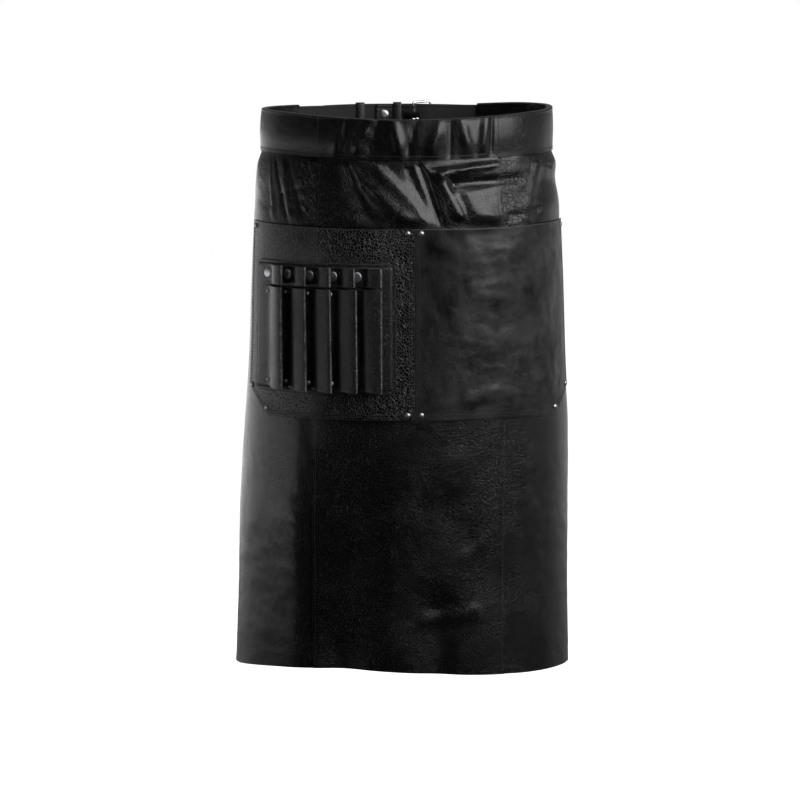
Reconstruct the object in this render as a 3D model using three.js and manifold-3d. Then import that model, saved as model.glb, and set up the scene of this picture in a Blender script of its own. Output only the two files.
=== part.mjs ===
// Long black leather waist apron, in the form that it takes when worn, closed at the back by a belt.
// Millimetres, +Z up. The wearer faces -Y, and +X is on the viewer's right.
// The origin is the middle of the waist loop, at half the height of the waistband.
import * as THREE from "three";
import { mergeVertices } from "three/addons/utils/BufferGeometryUtils.js";
import Module from "manifold-3d";

const wasm = await Module();
wasm.setup();

// Driving dimensions
const LENGTH = 750; // waistband's top edge to hem, along the sides
const BAND_HEIGHT = 57;
const BODY_LEATHER = 1.6;
const BAND_LEATHER = 1.4;
const PATCH_LEATHER = 2.0;
const STRIP_LEATHER = 1.5;
const BELT_LEATHER = 3.0;
const BELT_WIDTH = 40;
const GAP = 0.6; // clear space between layers
const SEAT = 0.3; // and under a small rivet
const LAP = 10; // centre panel's overlap on the side panels
const LAP_GAP = 1.2; // their spacing there, which leaves room for the folds
const TUCK = 8; // panels' top edge inside the waistband
const WASHER = 0.8; // thickness of a rivet's back washer
const FOLD_SHOULDER = 1.2; // height of the waistband's rounded top fold

const BAND_TOP = BAND_HEIGHT / 2;
const BAND_BOTTOM = -BAND_HEIGHT / 2;
const HEM = BAND_TOP - LENGTH;
const PANEL_TOP = BAND_BOTTOM + TUCK;
const TUNNEL_MIDDLE = -(BODY_LEATHER + LAP_GAP / 2); // lift of the belt's middle inside the band
const BELT_TOP = BAND_TOP - BAND_LEATHER - FOLD_SHOULDER;
const BELT_MIDDLE = BELT_TOP - BELT_WIDTH / 2;

// Sections of the worn form: half widths left and right, depth before and behind the widest line,
// and how far the centre front lies lower than the sides.
const SECTIONS = [
  { height: BAND_TOP, left: 193.3, right: 194.8, front: 134, rear: 108, dip: 9 },
  { height: 0, left: 194.3, right: 194.6, front: 135, rear: 108, dip: 7.5 },
  { height: BAND_BOTTOM, left: 195.2, right: 195.4, front: 136, rear: 108, dip: 5.5 },
  { height: -45, left: 200.5, right: 201.3, front: 140, rear: 108, dip: 4.6 },
  { height: -65, left: 203, right: 200.6, front: 143, rear: 108, dip: 3.6 },
  { height: -100, left: 204.5, right: 206, front: 148, rear: 109, dip: 2 },
  { height: -126, left: 206, right: 206.5, front: 150, rear: 110, dip: 1 },
  { height: -206, left: 209.5, right: 210, front: 153, rear: 112, dip: 0.5 },
  { height: -314, left: 213.5, right: 214, front: 156, rear: 115, dip: 0.2 },
  { height: -395, left: 219, right: 218.6, front: 157, rear: 118, dip: 0 },
  { height: -503, left: 225.5, right: 218.6, front: 157, rear: 120, dip: -1 },
  { height: -612, left: 227.5, right: 218.2, front: 156, rear: 122, dip: -2.4 },
  { height: HEM, left: 231.5, right: 220.2, front: 154, rear: 125, dip: -2.2 },
];

// The hem hangs lower to the right of the centre front than to its left, by this much each way.
const SWAY = { drop: 4.4, span: 270, from: -560 };
// The waist rides higher at its right side and behind it: places along X, Y and the height.
const SIDE_RISE = { lift: 4, start: 70, full: 170, behindStart: -50, behindFull: 30, bottom: -60 };

// Seams between the panels and the rear edges of the side panels, measured round the front.
const EDGES = [
  { height: BAND_TOP, leftSeam: -121, rightSeam: 126, leftRear: -345, rightRear: 404 },
  { height: BAND_BOTTOM, leftSeam: -122, rightSeam: 126, leftRear: -345, rightRear: 404 },
  { height: -126, leftSeam: -126, rightSeam: 132, leftRear: -352, rightRear: 407 },
  { height: -382, leftSeam: -128, rightSeam: 138, leftRear: -370, rightRear: 414 },
  { height: HEM, leftSeam: -128, rightSeam: 135, leftRear: -392, rightRear: 426 },
];

// Folds of the body: a ridge, or a hollow where lift is below zero, along a line across and down.
const UPPER_FOLDS = [
  { from: [-29, -46], to: [42, -116], width: 13, lift: 6 },
  { from: [16, -34], to: [46, -122], width: 5, lift: -3.5 },
  { from: [124, -33], to: [48, -48], width: 8, lift: 5 },
  { from: [46, -50], to: [72, -106], width: 8, lift: 5 },
  { from: [66, -64], to: [158, -60], width: 8, lift: -6 },
  { from: [88, -88], to: [112, -118], width: 22, lift: 5 },
  { from: [-76, -34], to: [-48, -116], width: 16, lift: -4.5 },
  { from: [-150, -36], to: [-138, -118], width: 7, lift: 2.5 },
  { from: [-182, -36], to: [-166, -118], width: 6, lift: 2.5 },
  { from: [-214, -36], to: [-200, -118], width: 6, lift: 2.5 },
  { from: [196, -40], to: [172, -112], width: 10, lift: 3 },
];
const LOWER_FOLDS = [
  { from: [-87, -580], to: [-87, HEM], width: 36, lift: -13 },
  { from: [43, -640], to: [43, HEM], width: 26, lift: -8 },
  { from: [-150, -520], to: [-140, HEM], width: 34, lift: 5 },
];
// Heights between which the folds swell to their full size: clear of the waistband and the pockets.
const UPPER_CALM = { top: BAND_BOTTOM - 2, full: BAND_BOTTOM - 14, fullEnd: -106, bottom: -124 };
const LOWER_CALM = { top: -388, full: -440 };

// Puckers of the front waistband: ridges from the top edge to the bottom edge.
const PUCKERS = [
  { top: -84, bottom: -98, width: 9, lift: 2.5 },
  { top: -46, bottom: -73, width: 8, lift: 4 },
  { top: -18, bottom: -6, width: 8, lift: 4 },
  { top: 45, bottom: 31, width: 9, lift: 4.5 },
  { top: 72, bottom: 85, width: 8, lift: 4.5 },
  { top: 108, bottom: 101, width: 6, lift: 3.5 },
];
// The waistband's section, from the inner wall's bottom edge over the fold to the outer wall's bottom edge.
const INNER_WALL = -(2 * BODY_LEATHER + LAP_GAP + GAP + BAND_LEATHER / 2);
const OUTER_WALL = GAP + BAND_LEATHER / 2;
const FOLD_TOP = BAND_TOP - BAND_LEATHER / 2;
const BAND_SWELL = 1.1; // of the outer wall at half its height
const BAND_SECTION = [
  { lift: INNER_WALL, height: BAND_BOTTOM, pucker: 0 },
  { lift: INNER_WALL, height: FOLD_TOP - FOLD_SHOULDER, pucker: 0 },
  { lift: TUNNEL_MIDDLE, height: FOLD_TOP, pucker: 0.1 },
  { lift: OUTER_WALL, height: FOLD_TOP - FOLD_SHOULDER, pucker: 0.5 },
  { lift: OUTER_WALL + BAND_SWELL, height: 9, pucker: 1 },
  { lift: OUTER_WALL + BAND_SWELL, height: -10, pucker: 0.95 },
  { lift: OUTER_WALL, height: BAND_BOTTOM, pucker: 0.25 },
];

// Pockets: they meet beside the centre line. A pocket's outer lower corner is cut off.
const POCKET_MEETING = 10.6;
const POCKET_WIDTH = 267;
const POCKET_TOP = -125;
const POCKET_TOP_RISE = 4; // how much higher the outer end of the top edge lies
const POCKET_BOTTOM = -379.5;
const CORNER_ACROSS = 52;
const CORNER_DOWN = 38;
const POCKETS = {
  pocket_left: { side: -1, bulge: 9 },
  pocket_right: { side: 1, bulge: 13 },
};
// Where a pocket's belly swells and falls, from the meeting line outwards.
const BELLY = { start: 12, full: 76, fullEnd: 96, end: 246 };
// How the belly dies away downwards, and how much of it the mouth's hem holds in.
const MOUTH = { taper: 0.8, hold: 0.15, holdDepth: 30 };
// Rivets of the pockets: distance from the meeting line and height.
const POCKET_RIVETS = {
  top_inner: { out: 9, height: -130 },
  bottom_inner: { out: 9, height: -373 },
  top_outer: { out: 255, height: -128 },
  corner_upper: { out: 256, height: -342 },
  corner_lower: { out: 217, height: -370 },
};

// Tool holder on the left pocket
const PATCH = { left: -230, right: -14, top: -171, bottom: -345, corner: 8 };
const STRIP = { top: -176, bottom: -200 };
const SLEEVES = { top: -205, bottom: -338 };
const STRIP_ENDS = { left: -208, right: -31 };
const LOOP_HEIGHT = 14.5;
// The shapes of a loop and of a sleeve: shares of the way from its left foot to its crest and of its height,
// then the way back to its right foot.
const LOOP_RISE = [
  { along: 0, up: 0 },
  { along: 0.14, up: 0.4 },
  { along: 0.42, up: 0.78 },
  { along: 0.76, up: 0.98 },
  { along: 1, up: 0.94 },
];
const SLEEVE_RISE = [
  { along: 0, up: 0 },
  { along: 0.2, up: 0.36 },
  { along: 0.5, up: 0.7 },
  { along: 0.8, up: 0.95 },
  { along: 1, up: 0.94 },
];
const LOOP_RETURN = { back: 0.5, up: 0.42 };
// Each loop rises from its left foot to a crest that leans over the fixed line on its right. The sleeves rise
// nearer to their lines, because small tacks hold them there and not broad caps.
const STRIP_LOOPS = [
  { leftFoot: -189, crest: -161, rightFoot: -173 },
  { leftFoot: -152.5, crest: -126, rightFoot: -138.5 },
  { leftFoot: -118, crest: -92.5, rightFoot: -105.8 },
  { leftFoot: -86.5, crest: -62, rightFoot: -74.5 },
  { leftFoot: -54, crest: -29.5, rightFoot: -43 },
];
const SLEEVE_LOOPS = [
  { leftFoot: -194.8, crest: -163, rightFoot: -172 },
  { leftFoot: -161.3, crest: -127, rightFoot: -137 },
  { leftFoot: -126.3, crest: -93, rightFoot: -104.5 },
  { leftFoot: -93.8, crest: -60, rightFoot: -72.5 },
  { leftFoot: -61.8, crest: -29.5, rightFoot: -43 },
];
const STRIP_LINES = [-198, -162, -127.5, -95, -63.5];
const SLEEVE_LINES = [-199, -165.5, -130.5, -98, -66];
const SLEEVE_RIVET_INSET = 7; // from the sleeves' top and bottom edges

// Rivets: cap radius and height, post radius
const DOME_RIVET = { cap: 3.7, rise: 1.9, post: 1.3, washer: 3.2, sides: 8 };
const CAP_RIVET = { cap: 7.2, rise: 1.6, post: 1.5, washer: 4, sides: 10 };
const TACK = { cap: 2.7, rise: 1.2, sides: 6 };
const BELT_RIVET = { cap: 6.3, rise: 1.5, post: 1.5, washer: 4, sides: 10 };
const CAP_SHOULDER = { across: 0.66, up: 0.72 }; // shares of the cap's radius and rise
const HOLE_SIDES = 4;
const ROUND_SIDES = 8; // of the belt's holes and the prong
const HOLE_OVERRUN = 3; // how far a cutter passes the layers that it drills
const BELT_HOLE_OVERRUN = 1;

// Belt closing at the back: places along X, seen from the front
const HEEL_BAR_X = 9;
const FRAME_REACH = 25; // heel bar to end bar
const FRAME_TILT = THREE.MathUtils.degToRad(21);
const FRAME_WIRE = 3.2;
const FRAME_FLARE = 1.7; // how much the frame widens towards its end bar, above and below
const FOLD_RADIUS = 4.4; // the belt's middle round the heel bar
const FOLDED_END_X = -41;
const FREE_END_X = -112;
const FREE_END_LIFT = 2.7;
const BACK_RISE = 1.4; // how much higher the belt runs at the buckle than at the sides
const BELT_RIVET_X = -31;
const BELT_RIVET_INSET = 13;
const KEEPER_WIDTH = 11;
const KEEPER_LEATHER = 1.8;
const KEEPER_CORNERS = { outer: 2.4, inner: 0.6 };
const KEEPERS = {
  keeper_fixed: { x: -12.5, layersBelow: 2 },
  keeper_sliding: { x: -63, layersBelow: 1 },
};
const BELT_HOLE_RADIUS = 2.4;
const BELT_HOLES_X = [-38, -88];
const WAIST = { left: 194, right: 194.7, front: 135, rear: 108 }; // plan that the belt follows
const RISE_START_X = 30; // where the free end begins to step outwards
const RISE_END_X = 4;
const RISE_FROM = 0.8; // share of the rear depth from which the belt begins to rise
const FOLDED_START_X = -6; // where the folded end leaves the heel bar's curve
const FRAME_BEVEL = 0.9;
const FRAME_CLEAR = 0.7; // frame to belt edge
const FRAME_CORNERS = { outer: 4, inner: 3 };
const PRONG_RADIUS = 1.3;
const PRONG_TIP = 0.8; // share of its radius
const PRONG_OVERHANG = 1; // past the middle of the end bar
const PRONG_CLEAR = 1; // above the end bar
const RING_RADIUS = 4.1; // the prong's eye round the heel bar
const SLOT_CLEAR = 1; // above and below the prong in the belt's slot
const SLOT_REACH = 4; // past the fold

// Finishes
const leather = new THREE.MeshStandardMaterial({ color: 0x17171a, roughness: 0.45, metalness: 0 });
const pebbled = new THREE.MeshStandardMaterial({ color: 0x141417, roughness: 0.4, metalness: 0 });
const strap = new THREE.MeshStandardMaterial({ color: 0x1b1b1d, roughness: 0.5, metalness: 0 });
const nickel = new THREE.MeshStandardMaterial({ color: 0xb9bbbf, roughness: 0.3, metalness: 1 });
const chrome = new THREE.MeshStandardMaterial({ color: 0xd4d6d9, roughness: 0.15, metalness: 1 });

const apron = new THREE.Group();

function addMesh(name, geometry, material) {
  const mesh = new THREE.Mesh(geometry, material);
  mesh.name = name;
  apron.add(mesh);
  return mesh;
}

const { lerp, clamp, smoothstep } = THREE.MathUtils;

// A column of a table at a height, with smooth slopes between its rows, which run downwards.
function tableAt(rows, column, height) {
  const last = rows.length - 1;
  let upper = 0;
  while (upper < last - 1 && height < rows[upper + 1].height) {
    upper += 1;
  }
  const slope = (row) => {
    const a = rows[Math.max(row - 1, 0)];
    const b = rows[Math.min(row + 1, last)];
    return (b[column] - a[column]) / (b.height - a.height);
  };
  const top = rows[upper];
  const bottom = rows[upper + 1];
  const span = bottom.height - top.height;
  const t = clamp((height - top.height) / span, 0, 1);
  const rise = bottom[column] - top[column];
  const startSlope = slope(upper) * span;
  const endSlope = slope(upper + 1) * span;
  const bend = (startSlope + endSlope - 2 * rise) * t + (3 * rise - 2 * startSlope - endSlope);
  return top[column] + startSlope * t + bend * t * t;
}

// Plan of the worn form at one height: fine steps of the turn from the centre front, with their run.
const TURN_STEPS = 240;
const plans = new Map();

function planAt(height, side) {
  const key = `${height.toFixed(4)} ${side}`;
  if (!plans.has(key)) {
    const half = tableAt(SECTIONS, side < 0 ? "left" : "right", height);
    const front = tableAt(SECTIONS, "front", height);
    const rear = tableAt(SECTIONS, "rear", height);
    const points = [];
    let run = 0;
    for (let step = 0; step <= TURN_STEPS; step++) {
      const turn = (Math.PI * step) / TURN_STEPS;
      const depth = turn < Math.PI / 2 ? front : rear;
      const point = new THREE.Vector2(side * half * Math.sin(turn), -depth * Math.cos(turn));
      run += step > 0 ? point.distanceTo(points[step - 1].point) : 0;
      points.push({ point, run });
    }
    plans.set(key, points);
  }
  return plans.get(key);
}

// Where a line at this distance round the front lies in plan, and which way is out.
function wrap(across, height) {
  const side = across < 0 ? -1 : 1;
  const plan = planAt(height, side);
  const distance = Math.abs(across);
  let step = 1;
  while (step < TURN_STEPS && plan[step].run < distance) {
    step += 1;
  }
  const before = plan[step - 1];
  const after = plan[step];
  const t = (distance - before.run) / (after.run - before.run);
  const point = before.point.clone().lerp(after.point, t);
  const along = after.point.clone().sub(before.point).normalize();
  const out = new THREE.Vector2(along.y, -along.x).multiplyScalar(side);
  const quarter = plan[TURN_STEPS / 2].run;
  const frontness = Math.cos((Math.min(distance / quarter, 1) * Math.PI) / 2) ** 2;
  return { point, out, frontness };
}

function foldHeight(folds, across, height) {
  let lift = 0;
  for (const fold of folds) {
    const run = [fold.to[0] - fold.from[0], fold.to[1] - fold.from[1]];
    const offset = [across - fold.from[0], height - fold.from[1]];
    const t = clamp((offset[0] * run[0] + offset[1] * run[1]) / (run[0] ** 2 + run[1] ** 2), 0, 1);
    const distance = Math.hypot(offset[0] - t * run[0], offset[1] - t * run[1]);
    lift += fold.lift * Math.exp(-((distance / fold.width) ** 2));
  }
  return lift;
}

function bodyFolds(across, height) {
  const upperSwell = 1 - smoothstep(height, UPPER_CALM.full, UPPER_CALM.top);
  const upperEnd = smoothstep(height, UPPER_CALM.bottom, UPPER_CALM.fullEnd);
  const lowerSwell = 1 - smoothstep(height, LOWER_CALM.full, LOWER_CALM.top);
  const upper = upperSwell * upperEnd * foldHeight(UPPER_FOLDS, across, height);
  return upper + lowerSwell * foldHeight(LOWER_FOLDS, across, height);
}

function sideRise({ x, y }, height) {
  const beside = smoothstep(x, SIDE_RISE.start, SIDE_RISE.full);
  const behind = smoothstep(y, SIDE_RISE.behindStart, SIDE_RISE.behindFull);
  return SIDE_RISE.lift * beside * behind * smoothstep(height, SIDE_RISE.bottom, BAND_TOP);
}

// A point of the worn form: distance round the front, height, and lift off the outer face of the body.
function skin(across, height, lift) {
  const { point, out, frontness } = wrap(across, height);
  const sway = SWAY.drop * Math.sin(Math.PI * clamp(across / SWAY.span, -1, 1));
  const swayed = smoothstep(SWAY.from - height, 0, SWAY.from - HEM) * sway;
  const z = height - tableAt(SECTIONS, "dip", height) * frontness - swayed + sideRise(point, height);
  return new THREE.Vector3(point.x + out.x * lift, point.y + out.y * lift, z);
}

function outwards(across, height) {
  const { out } = wrap(across, height);
  return new THREE.Vector3(out.x, out.y, 0);
}

// A closed sheet of leather from a grid of its outer and inner points. Columns run to the viewer's right
// and rows run down, as seen from outside.
function sheet(columns, rows, faces) {
  const positions = [];
  for (let row = 0; row < rows; row++) {
    for (let column = 0; column < columns; column++) {
      const [outer, inner] = faces(column, row);
      positions.push(outer.x, outer.y, outer.z, inner.x, inner.y, inner.z);
    }
  }
  const triangles = [];
  const outer = (column, row) => 2 * (row * columns + column);
  const inner = (column, row) => outer(column, row) + 1;
  const quad = (a, b, c, d) => triangles.push(a, b, c, a, c, d);
  const right = columns - 1;
  const bottom = rows - 1;
  for (let row = 0; row < bottom; row++) {
    for (let column = 0; column < right; column++) {
      quad(outer(column, row), outer(column, row + 1), outer(column + 1, row + 1), outer(column + 1, row));
      quad(inner(column, row), inner(column + 1, row), inner(column + 1, row + 1), inner(column, row + 1));
    }
    quad(outer(0, row), inner(0, row), inner(0, row + 1), outer(0, row + 1));
    quad(outer(right, row), outer(right, row + 1), inner(right, row + 1), inner(right, row));
  }
  for (let column = 0; column < right; column++) {
    quad(outer(column, 0), outer(column + 1, 0), inner(column + 1, 0), inner(column, 0));
    quad(outer(column, bottom), inner(column, bottom), inner(column + 1, bottom), outer(column + 1, bottom));
  }
  const geometry = new THREE.BufferGeometry();
  geometry.setAttribute("position", new THREE.Float32BufferAttribute(positions, 3));
  geometry.setIndex(triangles);
  return geometry;
}

const MITRE_LIMIT = 1.5;

// The two faces of a strip whose middle follows a flat path: left and right of the way it runs.
function stripFaces(path, thickness) {
  return path.map((point, index) => {
    const before = path[Math.max(index - 1, 0)];
    const after = path[Math.min(index + 1, path.length - 1)];
    const arriving = (index > 0 ? point.clone().sub(before) : after.clone().sub(point)).normalize();
    const last = index === path.length - 1;
    const leaving = (last ? point.clone().sub(before) : after.clone().sub(point)).normalize();
    const along = arriving.clone().add(leaving).normalize();
    const spread = along.dot(arriving) * MITRE_LIMIT > 1 ? 1 / along.dot(arriving) : MITRE_LIMIT;
    const left = new THREE.Vector2(-along.y, along.x).multiplyScalar((spread * thickness) / 2);
    return { left: point.clone().add(left), right: point.clone().sub(left) };
  });
}

const MERGE_DISTANCE = 1e-4;

function toSolid(geometry) {
  const bare = geometry.clone();
  bare.deleteAttribute("normal");
  bare.deleteAttribute("uv");
  const merged = mergeVertices(bare, MERGE_DISTANCE);
  const vertProperties = new Float32Array(merged.attributes.position.array);
  const triVerts = new Uint32Array(merged.index.array);
  return new wasm.Manifold(new wasm.Mesh({ numProp: 3, vertProperties, triVerts }));
}

function toGeometry(solid) {
  const { vertProperties, triVerts } = solid.getMesh();
  const geometry = new THREE.BufferGeometry();
  geometry.setAttribute("position", new THREE.BufferAttribute(new Float32Array(vertProperties), 3));
  geometry.setIndex(new THREE.BufferAttribute(new Uint32Array(triVerts), 1));
  return geometry;
}

function cutAway(geometry, cutters) {
  let solid = toSolid(geometry);
  for (const cutter of cutters) {
    solid = solid.subtract(toSolid(cutter));
  }
  return toGeometry(solid);
}

function spaced(first, last, count) {
  return Array.from({ length: count }, (_, index) => lerp(first, last, index / (count - 1)));
}

// Rivets: a cap outside, a post through the layers and a washer behind them.
const Y_AXIS = new THREE.Vector3(0, 1, 0);

function turned(profile, sides) {
  const lathe = new THREE.LatheGeometry(profile, sides);
  return mergeVertices(lathe.deleteAttribute("uv").deleteAttribute("normal"));
}

function rivetGeometry(kind, depth) {
  const profile = [
    [0, kind.rise + GAP],
    [kind.cap * CAP_SHOULDER.across, kind.rise * CAP_SHOULDER.up + GAP],
    [kind.cap, GAP],
    [kind.post, GAP],
    [kind.post, -depth - GAP],
    [kind.washer, -depth - GAP],
    [0, -depth - GAP - WASHER],
  ].map(([radius, height]) => new THREE.Vector2(radius, height)).reverse();
  return turned(profile, kind.sides);
}

function postHole(kind, depth, place) {
  const radius = (kind.post + GAP) / Math.cos(Math.PI / HOLE_SIDES);
  const hole = new THREE.CylinderGeometry(radius, radius, 2 * (depth + HOLE_OVERRUN), HOLE_SIDES);
  hole.applyQuaternion(new THREE.Quaternion().setFromUnitVectors(Y_AXIS, place.out));
  return hole.translate(place.point.x, place.point.y, place.point.z);
}

function addRivet(name, kind, depth, place) {
  const mesh = addMesh(name, rivetGeometry(kind, depth), nickel);
  mesh.position.copy(place.point);
  mesh.quaternion.setFromUnitVectors(Y_AXIS, place.out);
}

// A tack is the flat-backed cap alone, on the leather.
function addTack(name, place) {
  const profile = [
    [0, SEAT],
    [TACK.cap, SEAT],
    [TACK.cap * CAP_SHOULDER.across, TACK.rise * CAP_SHOULDER.up + SEAT],
    [0, TACK.rise + SEAT],
  ].map(([radius, height]) => new THREE.Vector2(radius, height));
  const mesh = addMesh(name, turned(profile, TACK.sides), nickel);
  mesh.position.copy(place.point);
  mesh.quaternion.setFromUnitVectors(Y_AXIS, place.out);
}

// Pocket shape
function pocketTopAt(across) {
  return POCKET_TOP + POCKET_TOP_RISE * (across / POCKET_WIDTH) ** 2;
}

function pocketBottomAt(out) {
  const past = Math.max(out - (POCKET_WIDTH - CORNER_ACROSS), 0);
  return POCKET_BOTTOM + (past * CORNER_DOWN) / CORNER_ACROSS;
}

// Lift of a pocket's inner face: on the body at its sewn edges, and gaping at the mouth near the middle.
function pocketLift(pocket, out, height) {
  const down = clamp((height - POCKET_TOP) / (POCKET_BOTTOM - POCKET_TOP), 0, 1);
  const belly = smoothstep(out, BELLY.start, BELLY.full) * (1 - smoothstep(out, BELLY.fullEnd, BELLY.end));
  const held = MOUTH.hold * smoothstep(height, POCKET_TOP - MOUTH.holdDepth, POCKET_TOP);
  return GAP + pocket.bulge * belly * (1 - down) ** MOUTH.taper * (1 - held);
}

function leftPocketFace(across, height) {
  return pocketLift(POCKETS.pocket_left, POCKET_MEETING - across, height) + BODY_LEATHER;
}

// The patch lies on the left pocket at its sewn edge and stands off inside, over the washers of its rivets.
function patchFace(across, height, standoff) {
  return leftPocketFace(across, height) + GAP + standoff * (WASHER + GAP) + PATCH_LEATHER;
}

// Outer face of the loop strips where they lie flat on the patch
function stripFace(across, height) {
  return patchFace(across, height, 1) + GAP + STRIP_LEATHER;
}

// Middle of a loop strip across the patch: flat on the fixed lines, and a leaning teardrop loop between them
function loopPath(loops, rise) {
  const path = [new THREE.Vector2(STRIP_ENDS.left, 0)];
  for (const { leftFoot, crest, rightFoot } of loops) {
    for (const { along, up } of rise) {
      path.push(new THREE.Vector2(lerp(leftFoot, crest, along), LOOP_HEIGHT * up));
    }
    path.push(new THREE.Vector2(lerp(crest, rightFoot, LOOP_RETURN.back), LOOP_HEIGHT * LOOP_RETURN.up));
    path.push(new THREE.Vector2(rightFoot, 0));
  }
  path.push(new THREE.Vector2(STRIP_ENDS.right, 0));
  return path;
}

const STRIP_PATH = loopPath(STRIP_LOOPS, LOOP_RISE);
const SLEEVE_PATH = loopPath(SLEEVE_LOOPS, SLEEVE_RISE);

// How much lower than that face a flat length of strip lies, where it thins towards a loop's right foot
function stripDrop(path, across) {
  const faces = stripFaces(path, STRIP_LEATHER);
  const start = path.findLastIndex(({ x, y }) => y === 0 && x <= across);
  const before = faces[start].left;
  const after = faces[start + 1].left;
  return STRIP_LEATHER / 2 - lerp(before.y, after.y, (across - before.x) / (after.x - before.x));
}

// Places of all rivets, which the layers below them are drilled for
const pocketPlaces = [];
for (const [pocketName, pocket] of Object.entries(POCKETS)) {
  for (const [corner, { out, height }] of Object.entries(POCKET_RIVETS)) {
    const across = POCKET_MEETING + pocket.side * out;
    const lift = pocketLift(pocket, out, height);
    const point = skin(across, height, lift + BODY_LEATHER);
    const depth = lift + 2 * BODY_LEATHER;
    const name = `${pocketName.replace("pocket", "rivet")}_${corner}`;
    pocketPlaces.push({ name, pocketName, across, depth, point, out: outwards(across, height) });
  }
}

function linePlace(name, path, across, height) {
  const point = skin(across, height, stripFace(across, height) - stripDrop(path, across));
  return { name, depth: STRIP_LEATHER + GAP + PATCH_LEATHER, point, out: outwards(across, height) };
}

const toolPlaces = STRIP_LINES.map((across, line) =>
  linePlace(`rivet_cap_${line + 1}`, STRIP_PATH, across, (STRIP.top + STRIP.bottom) / 2));
const tackPlaces = SLEEVE_LINES.flatMap((across, line) => [
  linePlace(`rivet_sleeve_top_${line + 1}`, SLEEVE_PATH, across, SLEEVES.top - SLEEVE_RIVET_INSET),
  linePlace(`rivet_sleeve_bottom_${line + 1}`, SLEEVE_PATH, across, SLEEVES.bottom + SLEEVE_RIVET_INSET),
]);

function holesFor(places, kind) {
  return places.map((place) => postHole(kind, place.depth, place));
}

// Body panels
const UPPER_ROWS = [PANEL_TOP, BAND_BOTTOM, -39, -50, -62, -76, -92, -109, -126];
const LOWER_ROWS = [-206, -314, -388, -440, -505, -565, -640, HEM];
const PANEL_ROWS = [...UPPER_ROWS, ...LOWER_ROWS];
const FRONT_COLUMNS = 17;
const CENTRE_REACH = 40; // rivets nearer the centre line than this pierce the centre panel

function frontAcross(column, height) {
  const share = column / (FRONT_COLUMNS - 1);
  return lerp(tableAt(EDGES, "leftSeam", height), tableAt(EDGES, "rightSeam", height), share);
}

function panelFaces(across, height, lift) {
  const fold = bodyFolds(across, height) + lift;
  return [skin(across, height, fold), skin(across, height, fold - BODY_LEATHER)];
}

function makeFrontPanel() {
  const panel = sheet(FRONT_COLUMNS, PANEL_ROWS.length, (column, row) => {
    const height = PANEL_ROWS[row];
    return panelFaces(frontAcross(column, height), height, 0);
  });
  const places = pocketPlaces.filter(({ across }) => Math.abs(across) < CENTRE_REACH);
  addMesh("panel_front", cutAway(panel, holesFor(places, DOME_RIVET)), leather);
}

// Columns of a side panel and its waistband, from the seam backwards: the lap, the step down under the
// centre panel, then even steps to the rear edge.
const STEP_START = 2;
const STEP_END = 22;
const SIDE_STARTS = [STEP_START, (STEP_START + STEP_END) / 2, STEP_END];
const SIDE_EVEN = 14;

function sideDistances(first, seam, rear) {
  return [first, ...SIDE_STARTS, ...spaced(STEP_END, Math.abs(rear - seam), SIDE_EVEN).slice(1)];
}

function sideAcross(side, first, column, height) {
  const seam = tableAt(EDGES, side < 0 ? "leftSeam" : "rightSeam", height);
  const rear = tableAt(EDGES, side < 0 ? "leftRear" : "rightRear", height);
  const distances = sideDistances(first, seam, rear);
  const index = side < 0 ? distances.length - 1 - column : column;
  return { across: seam + side * distances[index], past: distances[index] };
}

const SIDE_COLUMNS = 1 + SIDE_STARTS.length + SIDE_EVEN - 1;

function makeSidePanel(name, side, pocketName) {
  const panel = sheet(SIDE_COLUMNS, PANEL_ROWS.length, (column, row) => {
    const height = PANEL_ROWS[row];
    const { across, past } = sideAcross(side, -LAP, column, height);
    const under = (BODY_LEATHER + LAP_GAP) * (1 - smoothstep(past, STEP_START, STEP_END));
    return panelFaces(across, height, -under);
  });
  const places = pocketPlaces.filter((place) => {
    return place.pocketName === pocketName && Math.abs(place.across) > CENTRE_REACH;
  });
  addMesh(name, cutAway(panel, holesFor(places, DOME_RIVET)), leather);
}

// Waistband: the folded section along each of its three lengths
function puckerLift(across, height) {
  let lift = 0;
  for (const pucker of PUCKERS) {
    const middle = lerp(pucker.bottom, pucker.top, (height - BAND_BOTTOM) / BAND_HEIGHT);
    lift += pucker.lift * Math.exp(-(((across - middle) / pucker.width) ** 2));
  }
  return lift;
}

function makeBand(name, columns, acrossAt) {
  const band = sheet(columns, BAND_SECTION.length, (column, row) => {
    const across = acrossAt(column);
    const path = BAND_SECTION.map(({ lift, height, pucker }) => {
      return new THREE.Vector2(lift + pucker * puckerLift(across, height), height);
    });
    const { left, right } = stripFaces(path, BAND_LEATHER)[row];
    return [skin(across, left.y, left.x), skin(across, right.y, right.x)];
  });
  addMesh(name, band, leather);
}

const BAND_FRONT_COLUMNS = 23;
const SEAM_GAP = GAP / 2;

function makeWaistband() {
  const { leftSeam, rightSeam } = EDGES[0];
  makeBand("band_front", BAND_FRONT_COLUMNS, (column) => {
    return lerp(leftSeam + SEAM_GAP, rightSeam - SEAM_GAP, column / (BAND_FRONT_COLUMNS - 1));
  });
  makeBand("band_left", SIDE_COLUMNS, (column) => sideAcross(-1, SEAM_GAP, column, BAND_TOP).across);
  makeBand("band_right", SIDE_COLUMNS, (column) => sideAcross(1, SEAM_GAP, column, BAND_TOP).across);
}

// Pockets
const CORNER_START = POCKET_WIDTH - CORNER_ACROSS;
const POCKET_COLUMNS = [
  ...[0, 9, 22],
  ...spaced(38, CORNER_START, 11),
  ...spaced(CORNER_START, POCKET_WIDTH, 4).slice(1),
];
const POCKET_ROWS = [0, 0.1, 0.28, 0.5, 0.75, 1]; // shares of the way down

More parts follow.
